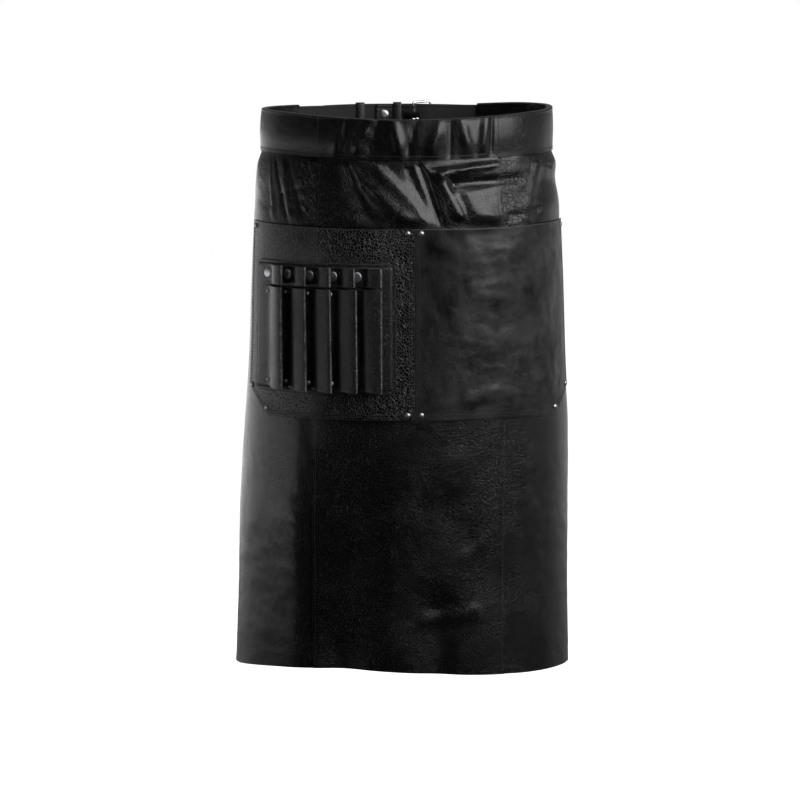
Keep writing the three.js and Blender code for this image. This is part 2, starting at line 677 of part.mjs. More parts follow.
function makePocket(name, material) {
  const pocket = POCKETS[name];
  const columns = POCKET_COLUMNS.length;
  const geometry = sheet(columns, POCKET_ROWS.length, (column, row) => {
    const distance = POCKET_COLUMNS[pocket.side < 0 ? columns - 1 - column : column];
    const out = Math.max(distance, SEAM_GAP);
    const across = POCKET_MEETING + pocket.side * out;
    const height = lerp(pocketTopAt(across), pocketBottomAt(out), POCKET_ROWS[row]);
    const lift = pocketLift(pocket, out, height);
    return [skin(across, height, lift + BODY_LEATHER), skin(across, height, lift)];
  });
  const places = pocketPlaces.filter(({ pocketName }) => pocketName === name);
  addMesh(name, cutAway(geometry, holesFor(places, DOME_RIVET)), material);
}

// Tool patch, with rounded corners
const PATCH_INSETS = [0, 2.4, PATCH.corner, 22]; // of the columns at each side
const PATCH_COLUMNS = [
  ...PATCH_INSETS.map((inset) => PATCH.left + inset),
  ...spaced(PATCH.left + 22, PATCH.right - 22, 10).slice(1, -1),
  ...PATCH_INSETS.map((inset) => PATCH.right - inset).reverse(),
];
const PATCH_ROWS = [0, 0.05, 0.25, 0.5, 0.75, 0.95, 1]; // shares of the way down
const PATCH_SEWN = 1; // width of the edge that lies on the pocket

function makePatch() {
  const patch = sheet(PATCH_COLUMNS.length, PATCH_ROWS.length, (column, row) => {
    const across = PATCH_COLUMNS[column];
    const insetAcross = Math.min(across - PATCH.left, PATCH.right - across);
    const intoCorner = Math.max(PATCH.corner - insetAcross, 0);
    const trim = PATCH.corner - Math.sqrt(PATCH.corner ** 2 - intoCorner ** 2);
    const height = lerp(PATCH.top - trim, PATCH.bottom + trim, PATCH_ROWS[row]);
    const inset = Math.min(insetAcross, PATCH.top - height, height - PATCH.bottom);
    const face = patchFace(across, height, smoothstep(inset, PATCH_SEWN, PATCH.corner));
    return [skin(across, height, face), skin(across, height, face - PATCH_LEATHER)];
  });
  addMesh("tool_patch", cutAway(patch, holesFor(toolPlaces, CAP_RIVET)), leather);
}

// Loop strips
function makeLoopStrip(name, path, { top, bottom }, rows, places) {
  const faces = stripFaces(path, STRIP_LEATHER);
  const geometry = sheet(path.length, rows, (column, row) => {
    const height = lerp(top, bottom, row / (rows - 1));
    const { left, right } = faces[column];
    const outer = skin(left.x, height, stripFace(left.x, height) - STRIP_LEATHER / 2 + left.y);
    const inner = skin(right.x, height, stripFace(right.x, height) - STRIP_LEATHER / 2 + right.y);
    return [outer, inner];
  });
  addMesh(name, cutAway(geometry, holesFor(places, CAP_RIVET)), leather);
}

// Belt: its path in plan runs from the folded end, round the heel bar and round the waist, to the free end.
function waistPoint(turn, lift) {
  const half = Math.sin(turn) < 0 ? WAIST.left : WAIST.right;
  const depth = Math.cos(turn) > 0 ? WAIST.front : WAIST.rear;
  const point = new THREE.Vector2(half * Math.sin(turn), -depth * Math.cos(turn));
  const out = new THREE.Vector2(Math.sin(turn) / half, -Math.cos(turn) / depth).normalize();
  return { point: point.addScaledVector(out, lift), out };
}

// Turn, near the back, at which the waist passes a place along X; the front is at zero.
function backTurn(x) {
  return Math.PI - Math.asin(x / (x < 0 ? WAIST.left : WAIST.right));
}

const BAR_LIFT = TUNNEL_MIDDLE - FOLD_RADIUS;
const FOLDED_LIFT = TUNNEL_MIDDLE - BELT_LEATHER - GAP;
const heelBar = waistPoint(backTurn(HEEL_BAR_X), BAR_LIFT);
const FOLDED_STEPS = 5;
const FOLD_STEPS = 6;
const WRAP_STEPS = 60;

function beltPath() {
  const path = [];
  for (const x of spaced(FOLDED_END_X, FOLDED_START_X, FOLDED_STEPS)) {
    path.push(waistPoint(backTurn(x), FOLDED_LIFT).point);
  }
  const alongX = new THREE.Vector2(heelBar.out.y, -heelBar.out.x);
  for (let step = 0; step <= FOLD_STEPS; step++) {
    const angle = (Math.PI * step) / FOLD_STEPS;
    const point = heelBar.point.clone().addScaledVector(alongX, FOLD_RADIUS * Math.sin(angle));
    path.push(point.addScaledVector(heelBar.out, -FOLD_RADIUS * Math.cos(angle)));
  }
  const first = backTurn(FOLDED_START_X) - 2 * Math.PI;
  for (const turn of spaced(first, backTurn(FREE_END_X), WRAP_STEPS)) {
    const rise = smoothstep(turn, backTurn(RISE_START_X), backTurn(RISE_END_X));
    path.push(waistPoint(turn, lerp(TUNNEL_MIDDLE, FREE_END_LIFT, rise)).point);
  }
  return path;
}

// Inside the waistband the belt sags with it towards the centre front, and it rises behind.
function beltShift(point, height) {
  const beside = sideRise(point, height);
  if (point.y > 0) {
    return beside + BACK_RISE * smoothstep(point.y / WAIST.rear, RISE_FROM, 1);
  }
  return beside - tableAt(SECTIONS, "dip", height) * clamp((point.y / WAIST.front) ** 2, 0, 1);
}

function backPlace(x, lift, height) {
  const { point, out } = waistPoint(backTurn(x), lift);
  const z = height + beltShift(point, height);
  return { point: new THREE.Vector3(point.x, point.y, z), out: new THREE.Vector3(out.x, out.y, 0) };
}

const BELT_RIVET_HEIGHTS = {
  belt_rivet_upper: BELT_TOP - BELT_RIVET_INSET,
  belt_rivet_lower: BELT_TOP - BELT_WIDTH + BELT_RIVET_INSET,
};
const FOLDED_STACK = 2 * BELT_LEATHER + GAP;

function beltRivetPlace(height) {
  const place = backPlace(BELT_RIVET_X, FOLDED_LIFT - BELT_LEATHER / 2, height);
  place.out.negate();
  return place;
}

// The buckle's own frame at the heel bar: X along the belt, Z up, Y outwards
function placeAtHeelBar(mesh) {
  mesh.position.set(heelBar.point.x, heelBar.point.y, BELT_MIDDLE + BACK_RISE);
  mesh.rotation.z = Math.atan2(-heelBar.out.x, heelBar.out.y);
  mesh.updateMatrix();
  return mesh;
}

function prongLine(radius) {
  const end = new THREE.Vector3(FRAME_REACH * Math.cos(FRAME_TILT) + PRONG_OVERHANG, 0, 0);
  end.y = FRAME_REACH * Math.sin(FRAME_TILT) + FRAME_WIRE / 2 + PRONG_CLEAR + PRONG_RADIUS;
  const start = new THREE.Vector3(0, RING_RADIUS, 0);
  const rod = new THREE.CylinderGeometry(radius * PRONG_TIP, radius, end.distanceTo(start), ROUND_SIDES);
  rod.applyQuaternion(new THREE.Quaternion().setFromUnitVectors(Y_AXIS, end.clone().sub(start).normalize()));
  const middle = end.add(start).multiplyScalar(0.5);
  return rod.translate(middle.x, middle.y, middle.z);
}

// A round cutter through layers of this depth, half of them before the place and half behind it
function roundHole(radius, depth, place) {
  const hole = new THREE.CylinderGeometry(radius, radius, depth + BELT_HOLE_OVERRUN, ROUND_SIDES);
  hole.applyQuaternion(new THREE.Quaternion().setFromUnitVectors(Y_AXIS, place.out));
  return hole.translate(place.point.x, place.point.y, place.point.z);
}

function makeBelt() {
  const path = beltPath();
  const faces = stripFaces(path, BELT_LEATHER);
  const geometry = sheet(path.length, 2, (column, row) => {
    const edge = BELT_TOP - row * BELT_WIDTH;
    const z = edge + beltShift(path[column], edge);
    const { left, right } = faces[column];
    return [new THREE.Vector3(right.x, right.y, z), new THREE.Vector3(left.x, left.y, z)];
  });
  const holder = placeAtHeelBar(new THREE.Object3D());
  const slotDepth = 2 * (FOLD_RADIUS + BELT_LEATHER / 2) + GAP;
  const slotHeight = 2 * (PRONG_RADIUS + SLOT_CLEAR);
  const slot = new THREE.BoxGeometry(2 * (FOLD_RADIUS + SLOT_REACH), slotDepth, slotHeight);
  slot.applyMatrix4(holder.matrix);
  const prongWay = prongLine(PRONG_RADIUS + GAP).applyMatrix4(holder.matrix);
  const rivetHoles = Object.values(BELT_RIVET_HEIGHTS).map((height) => {
    const place = beltRivetPlace(height);
    place.point.addScaledVector(place.out, -FOLDED_STACK / 2);
    return roundHole(BELT_RIVET.post + GAP, FOLDED_STACK, place);
  });
  const punched = BELT_HOLES_X.map((x) => {
    return roundHole(BELT_HOLE_RADIUS, BELT_LEATHER, backPlace(x, FREE_END_LIFT, BELT_MIDDLE));
  });
  addMesh("belt", cutAway(geometry, [slot, prongWay, ...rivetHoles, ...punched]), strap);
  for (const [name, height] of Object.entries(BELT_RIVET_HEIGHTS)) {
    addRivet(name, BELT_RIVET, FOLDED_STACK, beltRivetPlace(height));
  }
}

// Buckle frame: a flat frame with rounded corners that widens from the heel bar to the end bar
function roundedTrapezoid(target, near, far, nearHalf, farHalf, radius) {
  target.moveTo(near + radius, -nearHalf);
  target.lineTo(far - radius, -farHalf);
  target.quadraticCurveTo(far, -farHalf, far, -farHalf + radius);
  target.lineTo(far, farHalf - radius);
  target.quadraticCurveTo(far, farHalf, far - radius, farHalf);
  target.lineTo(near + radius, nearHalf);
  target.quadraticCurveTo(near, nearHalf, near, nearHalf - radius);
  target.lineTo(near, -nearHalf + radius);
  target.quadraticCurveTo(near, -nearHalf, near + radius, -nearHalf);
  return target;
}

const CORNER_STEPS = 3;
const RING_SIDES = 6;
const RING_STEPS = 12;

function makeBuckle() {
  const half = FRAME_WIRE / 2 - FRAME_BEVEL;
  const inner = BELT_WIDTH / 2 + FRAME_CLEAR + FRAME_BEVEL;
  const outer = inner + FRAME_WIRE - 2 * FRAME_BEVEL;
  const outline = roundedTrapezoid(new THREE.Shape(), -half, FRAME_REACH + half,
    outer, outer + FRAME_FLARE, FRAME_CORNERS.outer);
  outline.holes.push(roundedTrapezoid(new THREE.Path(), half, FRAME_REACH - half,
    inner, inner + FRAME_FLARE, FRAME_CORNERS.inner));
  const frame = new THREE.ExtrudeGeometry(outline, { depth: 2 * half, bevelSize: FRAME_BEVEL,
    bevelThickness: FRAME_BEVEL, bevelSegments: 1, curveSegments: CORNER_STEPS });
  frame.translate(0, 0, -half);
  frame.rotateX(Math.PI / 2);
  frame.rotateZ(FRAME_TILT);
  placeAtHeelBar(addMesh("buckle_frame", frame.deleteAttribute("uv").deleteAttribute("normal"), chrome));

  const ring = new THREE.TorusGeometry(RING_RADIUS, PRONG_RADIUS, RING_SIDES, RING_STEPS);
  const prong = toSolid(ring).add(toSolid(prongLine(PRONG_RADIUS)));
  placeAtHeelBar(addMesh("buckle_prong", toGeometry(prong), chrome));
}

// Keepers: leather loops round the layers of the belt
function makeKeepers() {
  for (const [name, { x, layersBelow }] of Object.entries(KEEPERS)) {
    const outerFace = FREE_END_LIFT + BELT_LEATHER / 2 + GAP;
    const lowest = layersBelow === 2 ? FOLDED_LIFT : TUNNEL_MIDDLE;
    const innerFace = lowest - BELT_LEATHER / 2 - GAP;
    const middle = (outerFace + innerFace) / 2;
    const halfDeep = (outerFace - innerFace) / 2;
    const halfHigh = BELT_WIDTH / 2 + GAP;
    const outline = roundedTrapezoid(new THREE.Shape(), -halfDeep - KEEPER_LEATHER, halfDeep + KEEPER_LEATHER,
      halfHigh + KEEPER_LEATHER, halfHigh + KEEPER_LEATHER, KEEPER_CORNERS.outer);
    outline.holes.push(roundedTrapezoid(new THREE.Path(), -halfDeep, halfDeep, halfHigh, halfHigh,
      KEEPER_CORNERS.inner));
    const loop = new THREE.ExtrudeGeometry(outline, { depth: KEEPER_WIDTH, bevelEnabled: false,
      curveSegments: CORNER_STEPS });
    loop.translate(0, 0, -KEEPER_WIDTH / 2);
    loop.rotateX(Math.PI / 2);
    const mesh = addMesh(name, loop.deleteAttribute("uv").deleteAttribute("normal"), strap);
    const { point, out } = backPlace(x, middle, BELT_MIDDLE);
    mesh.position.copy(point);
    mesh.rotation.z = Math.atan2(out.y, out.x);
  }
}

makeFrontPanel();
makeSidePanel("panel_left", -1, "pocket_left");
makeSidePanel("panel_right", 1, "pocket_right");
makeWaistband();
makePocket("pocket_left", pebbled);
makePocket("pocket_right", leather);
makePatch();
makeLoopStrip("tool_strip", STRIP_PATH, STRIP, 2, toolPlaces);
makeLoopStrip("tool_sleeves", SLEEVE_PATH, SLEEVES, 3, []);
for (const place of pocketPlaces) {
  addRivet(place.name, DOME_RIVET, place.depth, place);
}
for (const place of toolPlaces) {
  addRivet(place.name, CAP_RIVET, place.depth, place);
}
for (const place of tackPlaces) {
  addTack(place.name, place);
}
makeBelt();
makeBuckle();
makeKeepers();

export default apron;
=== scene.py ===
import math

import bpy
import numpy as np
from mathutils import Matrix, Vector


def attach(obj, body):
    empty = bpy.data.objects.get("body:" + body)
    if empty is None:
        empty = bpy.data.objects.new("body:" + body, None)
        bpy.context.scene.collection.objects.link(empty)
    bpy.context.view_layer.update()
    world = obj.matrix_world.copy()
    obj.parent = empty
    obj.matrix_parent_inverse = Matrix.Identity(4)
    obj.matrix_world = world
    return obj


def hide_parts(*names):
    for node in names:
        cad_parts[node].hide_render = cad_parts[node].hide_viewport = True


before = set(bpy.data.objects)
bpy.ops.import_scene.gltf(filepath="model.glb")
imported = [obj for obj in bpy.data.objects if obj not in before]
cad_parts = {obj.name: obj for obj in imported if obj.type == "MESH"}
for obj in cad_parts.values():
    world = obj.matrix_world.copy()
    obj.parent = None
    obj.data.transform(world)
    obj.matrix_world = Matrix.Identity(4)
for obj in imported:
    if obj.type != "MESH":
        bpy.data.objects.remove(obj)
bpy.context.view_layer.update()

# Driving sizes in millimetres, the same as the solids'
MM = 0.001
LENGTH = 750
BAND_HEIGHT = 57
BODY_LEATHER = 1.6
BAND_LEATHER = 1.4
PATCH_LEATHER = 2.0
STRIP_LEATHER = 1.5
BELT_LEATHER = 3.0
BELT_WIDTH = 40
GAP = 0.6
SEAT = 0.3
LAP = 10
LAP_GAP = 1.2
TUCK = 8
WASHER = 0.8
FOLD_SHOULDER = 1.2

BAND_TOP = BAND_HEIGHT / 2
BAND_BOTTOM = -BAND_HEIGHT / 2
HEM = BAND_TOP - LENGTH
PANEL_TOP = BAND_BOTTOM + TUCK
TUNNEL_MIDDLE = -(BODY_LEATHER + LAP_GAP / 2)
BELT_TOP = BAND_TOP - BAND_LEATHER - FOLD_SHOULDER
BELT_MIDDLE = BELT_TOP - BELT_WIDTH / 2


def table(columns, *rows):
    """Rows of numbers as one array for each named column."""
    return dict(zip(columns.split(), np.array(rows, float).T))


# Sections of the worn form
SECTIONS = table(
    "height left right front rear dip",
    (BAND_TOP, 193.3, 194.8, 134, 108, 9),
    (0, 194.3, 194.6, 135, 108, 7.5),
    (BAND_BOTTOM, 195.2, 195.4, 136, 108, 5.5),
    (-45, 200.5, 201.3, 140, 108, 4.6),
    (-65, 203, 200.6, 143, 108, 3.6),
    (-100, 204.5, 206, 148, 109, 2),
    (-126, 206, 206.5, 150, 110, 1),
    (-206, 209.5, 210, 153, 112, 0.5),
    (-314, 213.5, 214, 156, 115, 0.2),
    (-395, 219, 218.6, 157, 118, 0),
    (-503, 225.5, 218.6, 157, 120, -1),
    (-612, 227.5, 218.2, 156, 122, -2.4),
    (HEM, 231.5, 220.2, 154, 125, -2.2),
)
# The hem hangs lower to the right of the centre front than to its left, by this much each way
SWAY = {"drop": 4.4, "span": 270, "from": -560}
# The waist rides higher at its right side and behind it: places along X, Y and the height
SIDE_RISE = {"lift": 4, "start": 70, "full": 170, "behind_start": -50, "behind_full": 30, "bottom": -60}

# Seams and rear edges of the panels, measured round the front
EDGES = table(
    "height left_seam right_seam left_rear right_rear",
    (BAND_TOP, -121, 126, -345, 404),
    (BAND_BOTTOM, -122, 126, -345, 404),
    (-126, -126, 132, -352, 407),
    (-382, -128, 138, -370, 414),
    (HEM, -128, 135, -392, 426),
)

# Folds of the body: a ridge, or a hollow where lift is below zero, along a line across and down
FOLD_COLUMNS = "from_across from_height to_across to_height width lift"
UPPER_FOLDS = table(
    FOLD_COLUMNS,
    (-29, -46, 42, -116, 13, 6),
    (16, -34, 46, -122, 5, -3.5),
    (124, -33, 48, -48, 8, 5),
    (46, -50, 72, -106, 8, 5),
    (66, -64, 158, -60, 8, -6),
    (88, -88, 112, -118, 22, 5),
    (-76, -34, -48, -116, 16, -4.5),
    (-150, -36, -138, -118, 7, 2.5),
    (-182, -36, -166, -118, 6, 2.5),
    (-214, -36, -200, -118, 6, 2.5),
    (196, -40, 172, -112, 10, 3),
)
# Finer folds and creases of the leather above the pockets
UPPER_CREASES = table(
    FOLD_COLUMNS,
    (-72, -38, -60, -59, 6, 2.6),
    (-60, -59, -37, -72, 2.5, -0.9),
    (17, -33, 47, -121, 2.4, -1.3),
    (-196, -36, -183, -82, 2.4, -1.2),
    (-183, -82, -172, -120, 2.6, -1.2),
    (-172, -36, -158, -74, 2.2, -1),
    (-158, -74, -144, -120, 2.6, -1.3),
    (-214, -40, -206, -100, 2.6, -1.1),
    (-146, -40, -134, -58, 3, -1.2),
    (-146, -56, -132, -74, 2.6, -1.2),
    (-146, -72, -132, -88, 2.6, -1.2),
    (-148, -86, -132, -104, 2.6, -1.2),
    (-146, -102, -132, -118, 2.6, -1.2),
    (70, -44, 92, -38, 3, 1.2),
    (70, -66, 152, -62, 14, 3),
    (-52, -64, 12, -122, 11, 5),
    (-24, -42, 42, -112, 11, -5),
    (4, -44, 36, -120, 8, -3),
    (26, -40, 56, -122, 6, 2.5),
    (36, -46, 60, -104, 7, 3),
    (54, -52, 80, -106, 7, -2),
    (-150, -36, -138, -118, 9, -1.6),
    (-182, -36, -166, -118, 8, -1.6),
    (-214, -36, -200, -118, 8, -1.6),
    (150, -112, 196, -104, 7, -3),
    (204, -40, 232, -48, 3, -1.4),
)
LOWER_FOLDS = table(
    FOLD_COLUMNS,
    (-87, -580, -87, HEM, 36, -13),
    (43, -640, 43, HEM, 26, -8),
    (-150, -520, -140, HEM, 34, 5),
)
LOWER_CREASES = table(
    FOLD_COLUMNS,
    (28, -650, 92, -638, 10, 2.2),
    (-87, -585, -87, -640, 36, 6.5),
    (78, -566, 104, -548, 10, 1.2),
    (-40, -470, 60, -440, 30, 1.6),
    (60, -500, 118, -600, 26, -1.8),
    (-100, -440, -60, -560, 24, -1.6),
)
UPPER_CALM = {"top": BAND_BOTTOM - 2, "full": BAND_BOTTOM - 14, "full_end": -106, "bottom": -124}
LOWER_CALM = {"top": -388, "full": -440}

# Slow waves that keep the leather from lying dead flat: length across, length down, start and share
WAVES = table(
    "across down start share",
    (131, 190, 0.4, 0.5),
    (-87, 118, 1.9, 0.4),
    (64, -93, 3.1, 0.3),
    (39, 58, 5.0, 0.2),
    (-27, 36, 2.2, 0.12),
)
WAVE_BEND = 2.1
BODY_WAVE = 0.25
POCKET_WAVE = 0.65

# Puckers of the front waistband from its top edge to its bottom edge: ridges, then sharper tucks
PUCKER_COLUMNS = "top bottom width lift"
PUCKERS = table(
    PUCKER_COLUMNS,
    (-84, -98, 9, 2.5),
    (-46, -73, 8, 4),
    (-18, -6, 8, 4),
    (45, 31, 9, 4.5),
    (72, 85, 8, 4.5),
    (108, 101, 6, 3.5),
)
TUCKS = table(
    PUCKER_COLUMNS,
    (-78, -92, 5, -1.8),
    (-37, -54, 5, -2.4),
    (14, -3, 5, -2.6),
    (58, 58, 4, -2),
    (117, 115, 2.6, -2.4),
)
INNER_WALL = -(2 * BODY_LEATHER + LAP_GAP + GAP + BAND_LEATHER / 2)
OUTER_WALL = GAP + BAND_LEATHER / 2
FOLD_TOP = BAND_TOP - BAND_LEATHER / 2
BAND_SWELL = 1.1
FOLD_STRAIGHT = 3
BAND_SECTION = table(
    "lift height pucker",
    (INNER_WALL, BAND_BOTTOM, 0),
    (INNER_WALL, 0, 0),
    (INNER_WALL, FOLD_TOP - FOLD_SHOULDER - FOLD_STRAIGHT, 0),
    (INNER_WALL, FOLD_TOP - FOLD_SHOULDER, 0),
    (TUNNEL_MIDDLE, FOLD_TOP, 0.1),
    (OUTER_WALL, FOLD_TOP - FOLD_SHOULDER, 0.5),
    (OUTER_WALL + BAND_SWELL * 0.2, FOLD_TOP - FOLD_SHOULDER - FOLD_STRAIGHT, 0.65),
    (OUTER_WALL + BAND_SWELL, 9, 1),
    (OUTER_WALL + BAND_SWELL, -10, 0.95),
    (OUTER_WALL, BAND_BOTTOM, 0.25),
)

# Pockets
POCKET_MEETING = 10.6
POCKET_WIDTH = 267
POCKET_TOP = -125
POCKET_TOP_RISE = 4
POCKET_BOTTOM = -379.5
CORNER_ACROSS = 52
CORNER_DOWN = 38
CORNER_START = POCKET_WIDTH - CORNER_ACROSS
LEFT = {"side": -1, "bulge": 9}
RIGHT = {"side": 1, "bulge": 13}
BELLY = {"start": 12, "full": 76, "full_end": 96, "end": 246}
MOUTH = {"taper": 0.8, "hold": 0.15, "hold_depth": 30}
POCKET_RIVETS = table(
    "out height",
    (9, -130),
    (9, -373),
    (255, -128),
    (256, -342),
    (217, -370),
)
RIVET_CORNERS = ("top_inner", "bottom_inner", "top_outer", "corner_upper", "corner_lower")
# Creases of the right pocket, by distance from the meeting line
POCKET_CREASES = table(
    FOLD_COLUMNS,
    (28, -144, 44, -151, 12, 3.2),
    (40, -150, 30, -330, 14, -1.6),
    (70, -356, 112, -340, 9, 1.4),
    (84, -368, 128, -360, 7, -1.2),
    (96, -214, 168, -190, 22, 1.2),
    (120, -250, 190, -262, 20, -1.2),
    (60, -300, 120, -280, 18, 1),
    (150, -330, 210, -320, 14, 0.9),
)

# Tool holder
PATCH = {"left": -230, "right": -14, "top": -171, "bottom": -345, "corner": 8, "sewn": 1}
STRIP = {"top": -176, "bottom": -200}
SLEEVES = {"top": -205, "bottom": -338}
STRIP_ENDS = {"left": -208, "right": -31}
LOOP_HEIGHT = 14.5
LOOP_RISE = ((0, 0), (0.14, 0.4), (0.42, 0.78), (0.76, 0.98), (1, 0.94))
SLEEVE_RISE = ((0, 0), (0.2, 0.36), (0.5, 0.7), (0.8, 0.95), (1, 0.94))
LOOP_RETURN = (0.5, 0.42)
LOOP_COLUMNS = "left_foot crest right_foot"
STRIP_LOOPS = table(
    LOOP_COLUMNS,
    (-189, -161, -173),
    (-152.5, -126, -138.5),
    (-118, -92.5, -105.8),
    (-86.5, -62, -74.5),
    (-54, -29.5, -43),
)
SLEEVE_LOOPS = table(
    LOOP_COLUMNS,
    (-194.8, -163, -172),
    (-161.3, -127, -137),
    (-126.3, -93, -104.5),
    (-93.8, -60, -72.5),
    (-61.8, -29.5, -43),
)
STRIP_LINES = (-198, -162, -127.5, -95, -63.5)
SLEEVE_LINES = (-199, -165.5, -130.5, -98, -66)
SLEEVE_RIVET_INSET = 7
LOOP_DROOP = 0.6
SLEEVE_DROOP = 4.5

# Belt closing at the back
HEEL_BAR_X = 9
FRAME_REACH = 25
FRAME_TILT = math.radians(21)
FRAME_WIRE = 3.2
FRAME_FLARE = 1.7
FRAME_CLEAR = 0.7
FRAME_CORNER = 4
FOLD_RADIUS = 4.4
FOLDED_START_X = -6
FOLDED_END_X = -41
FREE_END_X = -112
FREE_END_LIFT = 2.7
BACK_RISE = 1.4
RISE_START_X = 30
RISE_END_X = 4
RISE_FROM = 0.8
BELT_RIVET_X = -31
BELT_RIVET_INSET = 13
KEEPER_WIDTH = 11
KEEPER_LEATHER = 1.8
KEEPERS = {"keeper_fixed": (-12.5, 2), "keeper_sliding": (-63, 1)}
BELT_HOLE_RADIUS = 2.4
BELT_HOLES_X = (-38, -88)
WAIST = {"left": 194, "right": 194.7, "front": 135, "rear": 108}
PRONG_RADIUS = 1.3
PRONG_OVERHANG = 1
PRONG_CLEAR = 1
RING_RADIUS = 4.1
SLOT_CLEAR = 1
SLOT_REACH = 4


# Small numeric helpers
def smooth(value, low, high):
    """0 below low, 1 above high, with an easy slope between."""
    t = np.clip((np.asarray(value, float) - low) / (high - low), 0, 1)
    return t * t * (3 - 2 * t)


def unit(vectors):
    return vectors / np.linalg.norm(vectors, axis=-1, keepdims=True)


def read(rows, column, height):
    """A column of a table at these heights, with smooth slopes between its rows, which run downwards."""
    heights = rows["height"]
    values = rows[column]
    last = len(heights) - 1
    before = np.maximum(np.arange(last + 1) - 1, 0)
    after = np.minimum(np.arange(last + 1) + 1, last)
    slopes = (values[after] - values[before]) / (heights[after] - heights[before])
    height = np.asarray(height, float)
    upper = np.clip(np.searchsorted(-heights, -height, side="right") - 1, 0, last - 1)
    span = heights[upper + 1] - heights[upper]
    t = np.clip((height - heights[upper]) / span, 0, 1)
    rise = values[upper + 1] - values[upper]
    start = slopes[upper] * span
    end = slopes[upper + 1] * span
    bend = (start + end - 2 * rise) * t + 3 * rise - 2 * start - end
    return values[upper] + start * t + bend * t * t


def eased(points, steps):
    """A smooth line through rows of points, with this many steps between each two of them."""
    points = np.asarray(points, float)
    padded = np.concatenate([2 * points[:1] - points[1:2], points, 2 * points[-1:] - points[-2:-1]])
    parts = []
    for row in range(len(points) - 1):
        a, b, c, d = padded[row:row + 4]
        for t in np.arange(steps) / steps:
            bend = (2 * a - 5 * b + 4 * c - d) + (3 * b - a - 3 * c + d) * t
            parts.append(b + 0.5 * t * ((c - a) + t * bend))
    parts.append(points[-1])
    return np.array(parts)


def rounded_line(points, rounds):
    """A line of points with its corners cut again and again until they are round. Its ends stay."""
    points = np.asarray(points, float)
    for _ in range(rounds):
        early = 0.75 * points[:-1] + 0.25 * points[1:]
        late = 0.25 * points[:-1] + 0.75 * points[1:]
        middle = np.stack([early, late], axis=1).reshape(-1, points.shape[1])
        points = np.concatenate([points[:1], middle[1:-1], points[-1:]])
    return points


# The worn form
TURN_STEPS = 180
TURNS = np.linspace(0, math.pi, TURN_STEPS + 1)
QUARTER = TURN_STEPS // 2
# Points that are worked out at a time, to spare memory
CHUNK = 4000


def wrap(across, height):
    """Places in plan at these distances round the front, the way out there, and how frontal each is."""
    across, height = np.broadcast_arrays(np.asarray(across, float), np.asarray(height, float))
    shape = across.shape
    across = across.ravel()
    height = height.ravel()
    side = np.where(across < 0, -1.0, 1.0)
    half = np.where(across < 0, read(SECTIONS, "left", height), read(SECTIONS, "right", height))
    front = read(SECTIONS, "front", height)
    rear = read(SECTIONS, "rear", height)
    distance = np.abs(across)
    turn = np.empty_like(distance)
    quarter = np.empty_like(distance)
    for start in range(0, len(distance), CHUNK):
        part = slice(start, start + CHUNK)
        x = half[part, None] * np.sin(TURNS)
        y = -np.where(TURNS < math.pi / 2, front[part, None], rear[part, None]) * np.cos(TURNS)
        run = np.zeros_like(x)
        run[:, 1:] = np.cumsum(np.hypot(np.diff(x), np.diff(y)), axis=1)
        step = np.clip((run < distance[part, None]).sum(axis=1), 1, len(TURNS) - 1)
        line = np.arange(len(step))
        low = run[line, step - 1]
        high = run[line, step]
        turn[part] = TURNS[step - 1] + TURNS[1] * (distance[part] - low) / (high - low)
        quarter[part] = run[:, QUARTER]
    depth = np.where(turn < math.pi / 2, front, rear)
    point = np.stack([side * half * np.sin(turn), -depth * np.cos(turn)], axis=-1)
    out = unit(np.stack([side * np.sin(turn) / half, -np.cos(turn) / depth], axis=-1))
    frontness = np.cos(np.minimum(distance / quarter, 1) * math.pi / 2) ** 2
    return point.reshape(shape + (2,)), out.reshape(shape + (2,)), frontness.reshape(shape)


def side_rise(point, height):
    beside = smooth(point[..., 0], SIDE_RISE["start"], SIDE_RISE["full"])
    behind = smooth(point[..., 1], SIDE_RISE["behind_start"], SIDE_RISE["behind_full"])
    return SIDE_RISE["lift"] * beside * behind * smooth(height, SIDE_RISE["bottom"], BAND_TOP)


def skin(across, height, lift):
    """Points of the worn form: distance round the front, height, and lift off the outer face of the body."""
    point, out, frontness = wrap(across, height)
    sway = SWAY["drop"] * np.sin(math.pi * np.clip(np.asarray(across) / SWAY["span"], -1, 1))
    swayed = smooth(SWAY["from"] - np.asarray(height), 0, SWAY["from"] - HEM) * sway
    z = height - read(SECTIONS, "dip", height) * frontness - swayed + side_rise(point, height)
    flat = point + out * np.broadcast_to(lift, frontness.shape)[..., None]
    return np.concatenate([flat, np.broadcast_to(z, frontness.shape)[..., None]], axis=-1)


def outwards(across, height):
    _, out, _ = wrap(across, height)
    return np.concatenate([out, np.zeros(out.shape[:-1] + (1,))], axis=-1)


def surface_row(across, height, lift):
    """Points on the worn form at this lift, and the way out at each."""
    across, height = np.broadcast_arrays(np.asarray(across, float), np.asarray(height, float))
    return skin(across, height, lift), outwards(across, height)


def fold_height(folds, across, height):
    total = np.zeros(np.broadcast(across, height).shape)
    for a0, h0, a1, h1, width, lift in zip(*folds.values()):
        run_a = a1 - a0
        run_h = h1 - h0
        t = np.clip(((across - a0) * run_a + (height - h0) * run_h) / (run_a ** 2 + run_h ** 2), 0, 1)
        distance = np.hypot(across - a0 - t * run_a, height - h0 - t * run_h)
        total = total + lift * np.exp(-(distance / width) ** 2)
    return total


def drift(across, height):
    total = 0
    for along, down, start, share in zip(*WAVES.values()):
        bend = WAVE_BEND * np.sin(2 * math.pi * (across / down - height / along) + 2 * start + total)
        total = total + share * np.sin(2 * math.pi * (across / along + height / down) + start + bend)
    return total


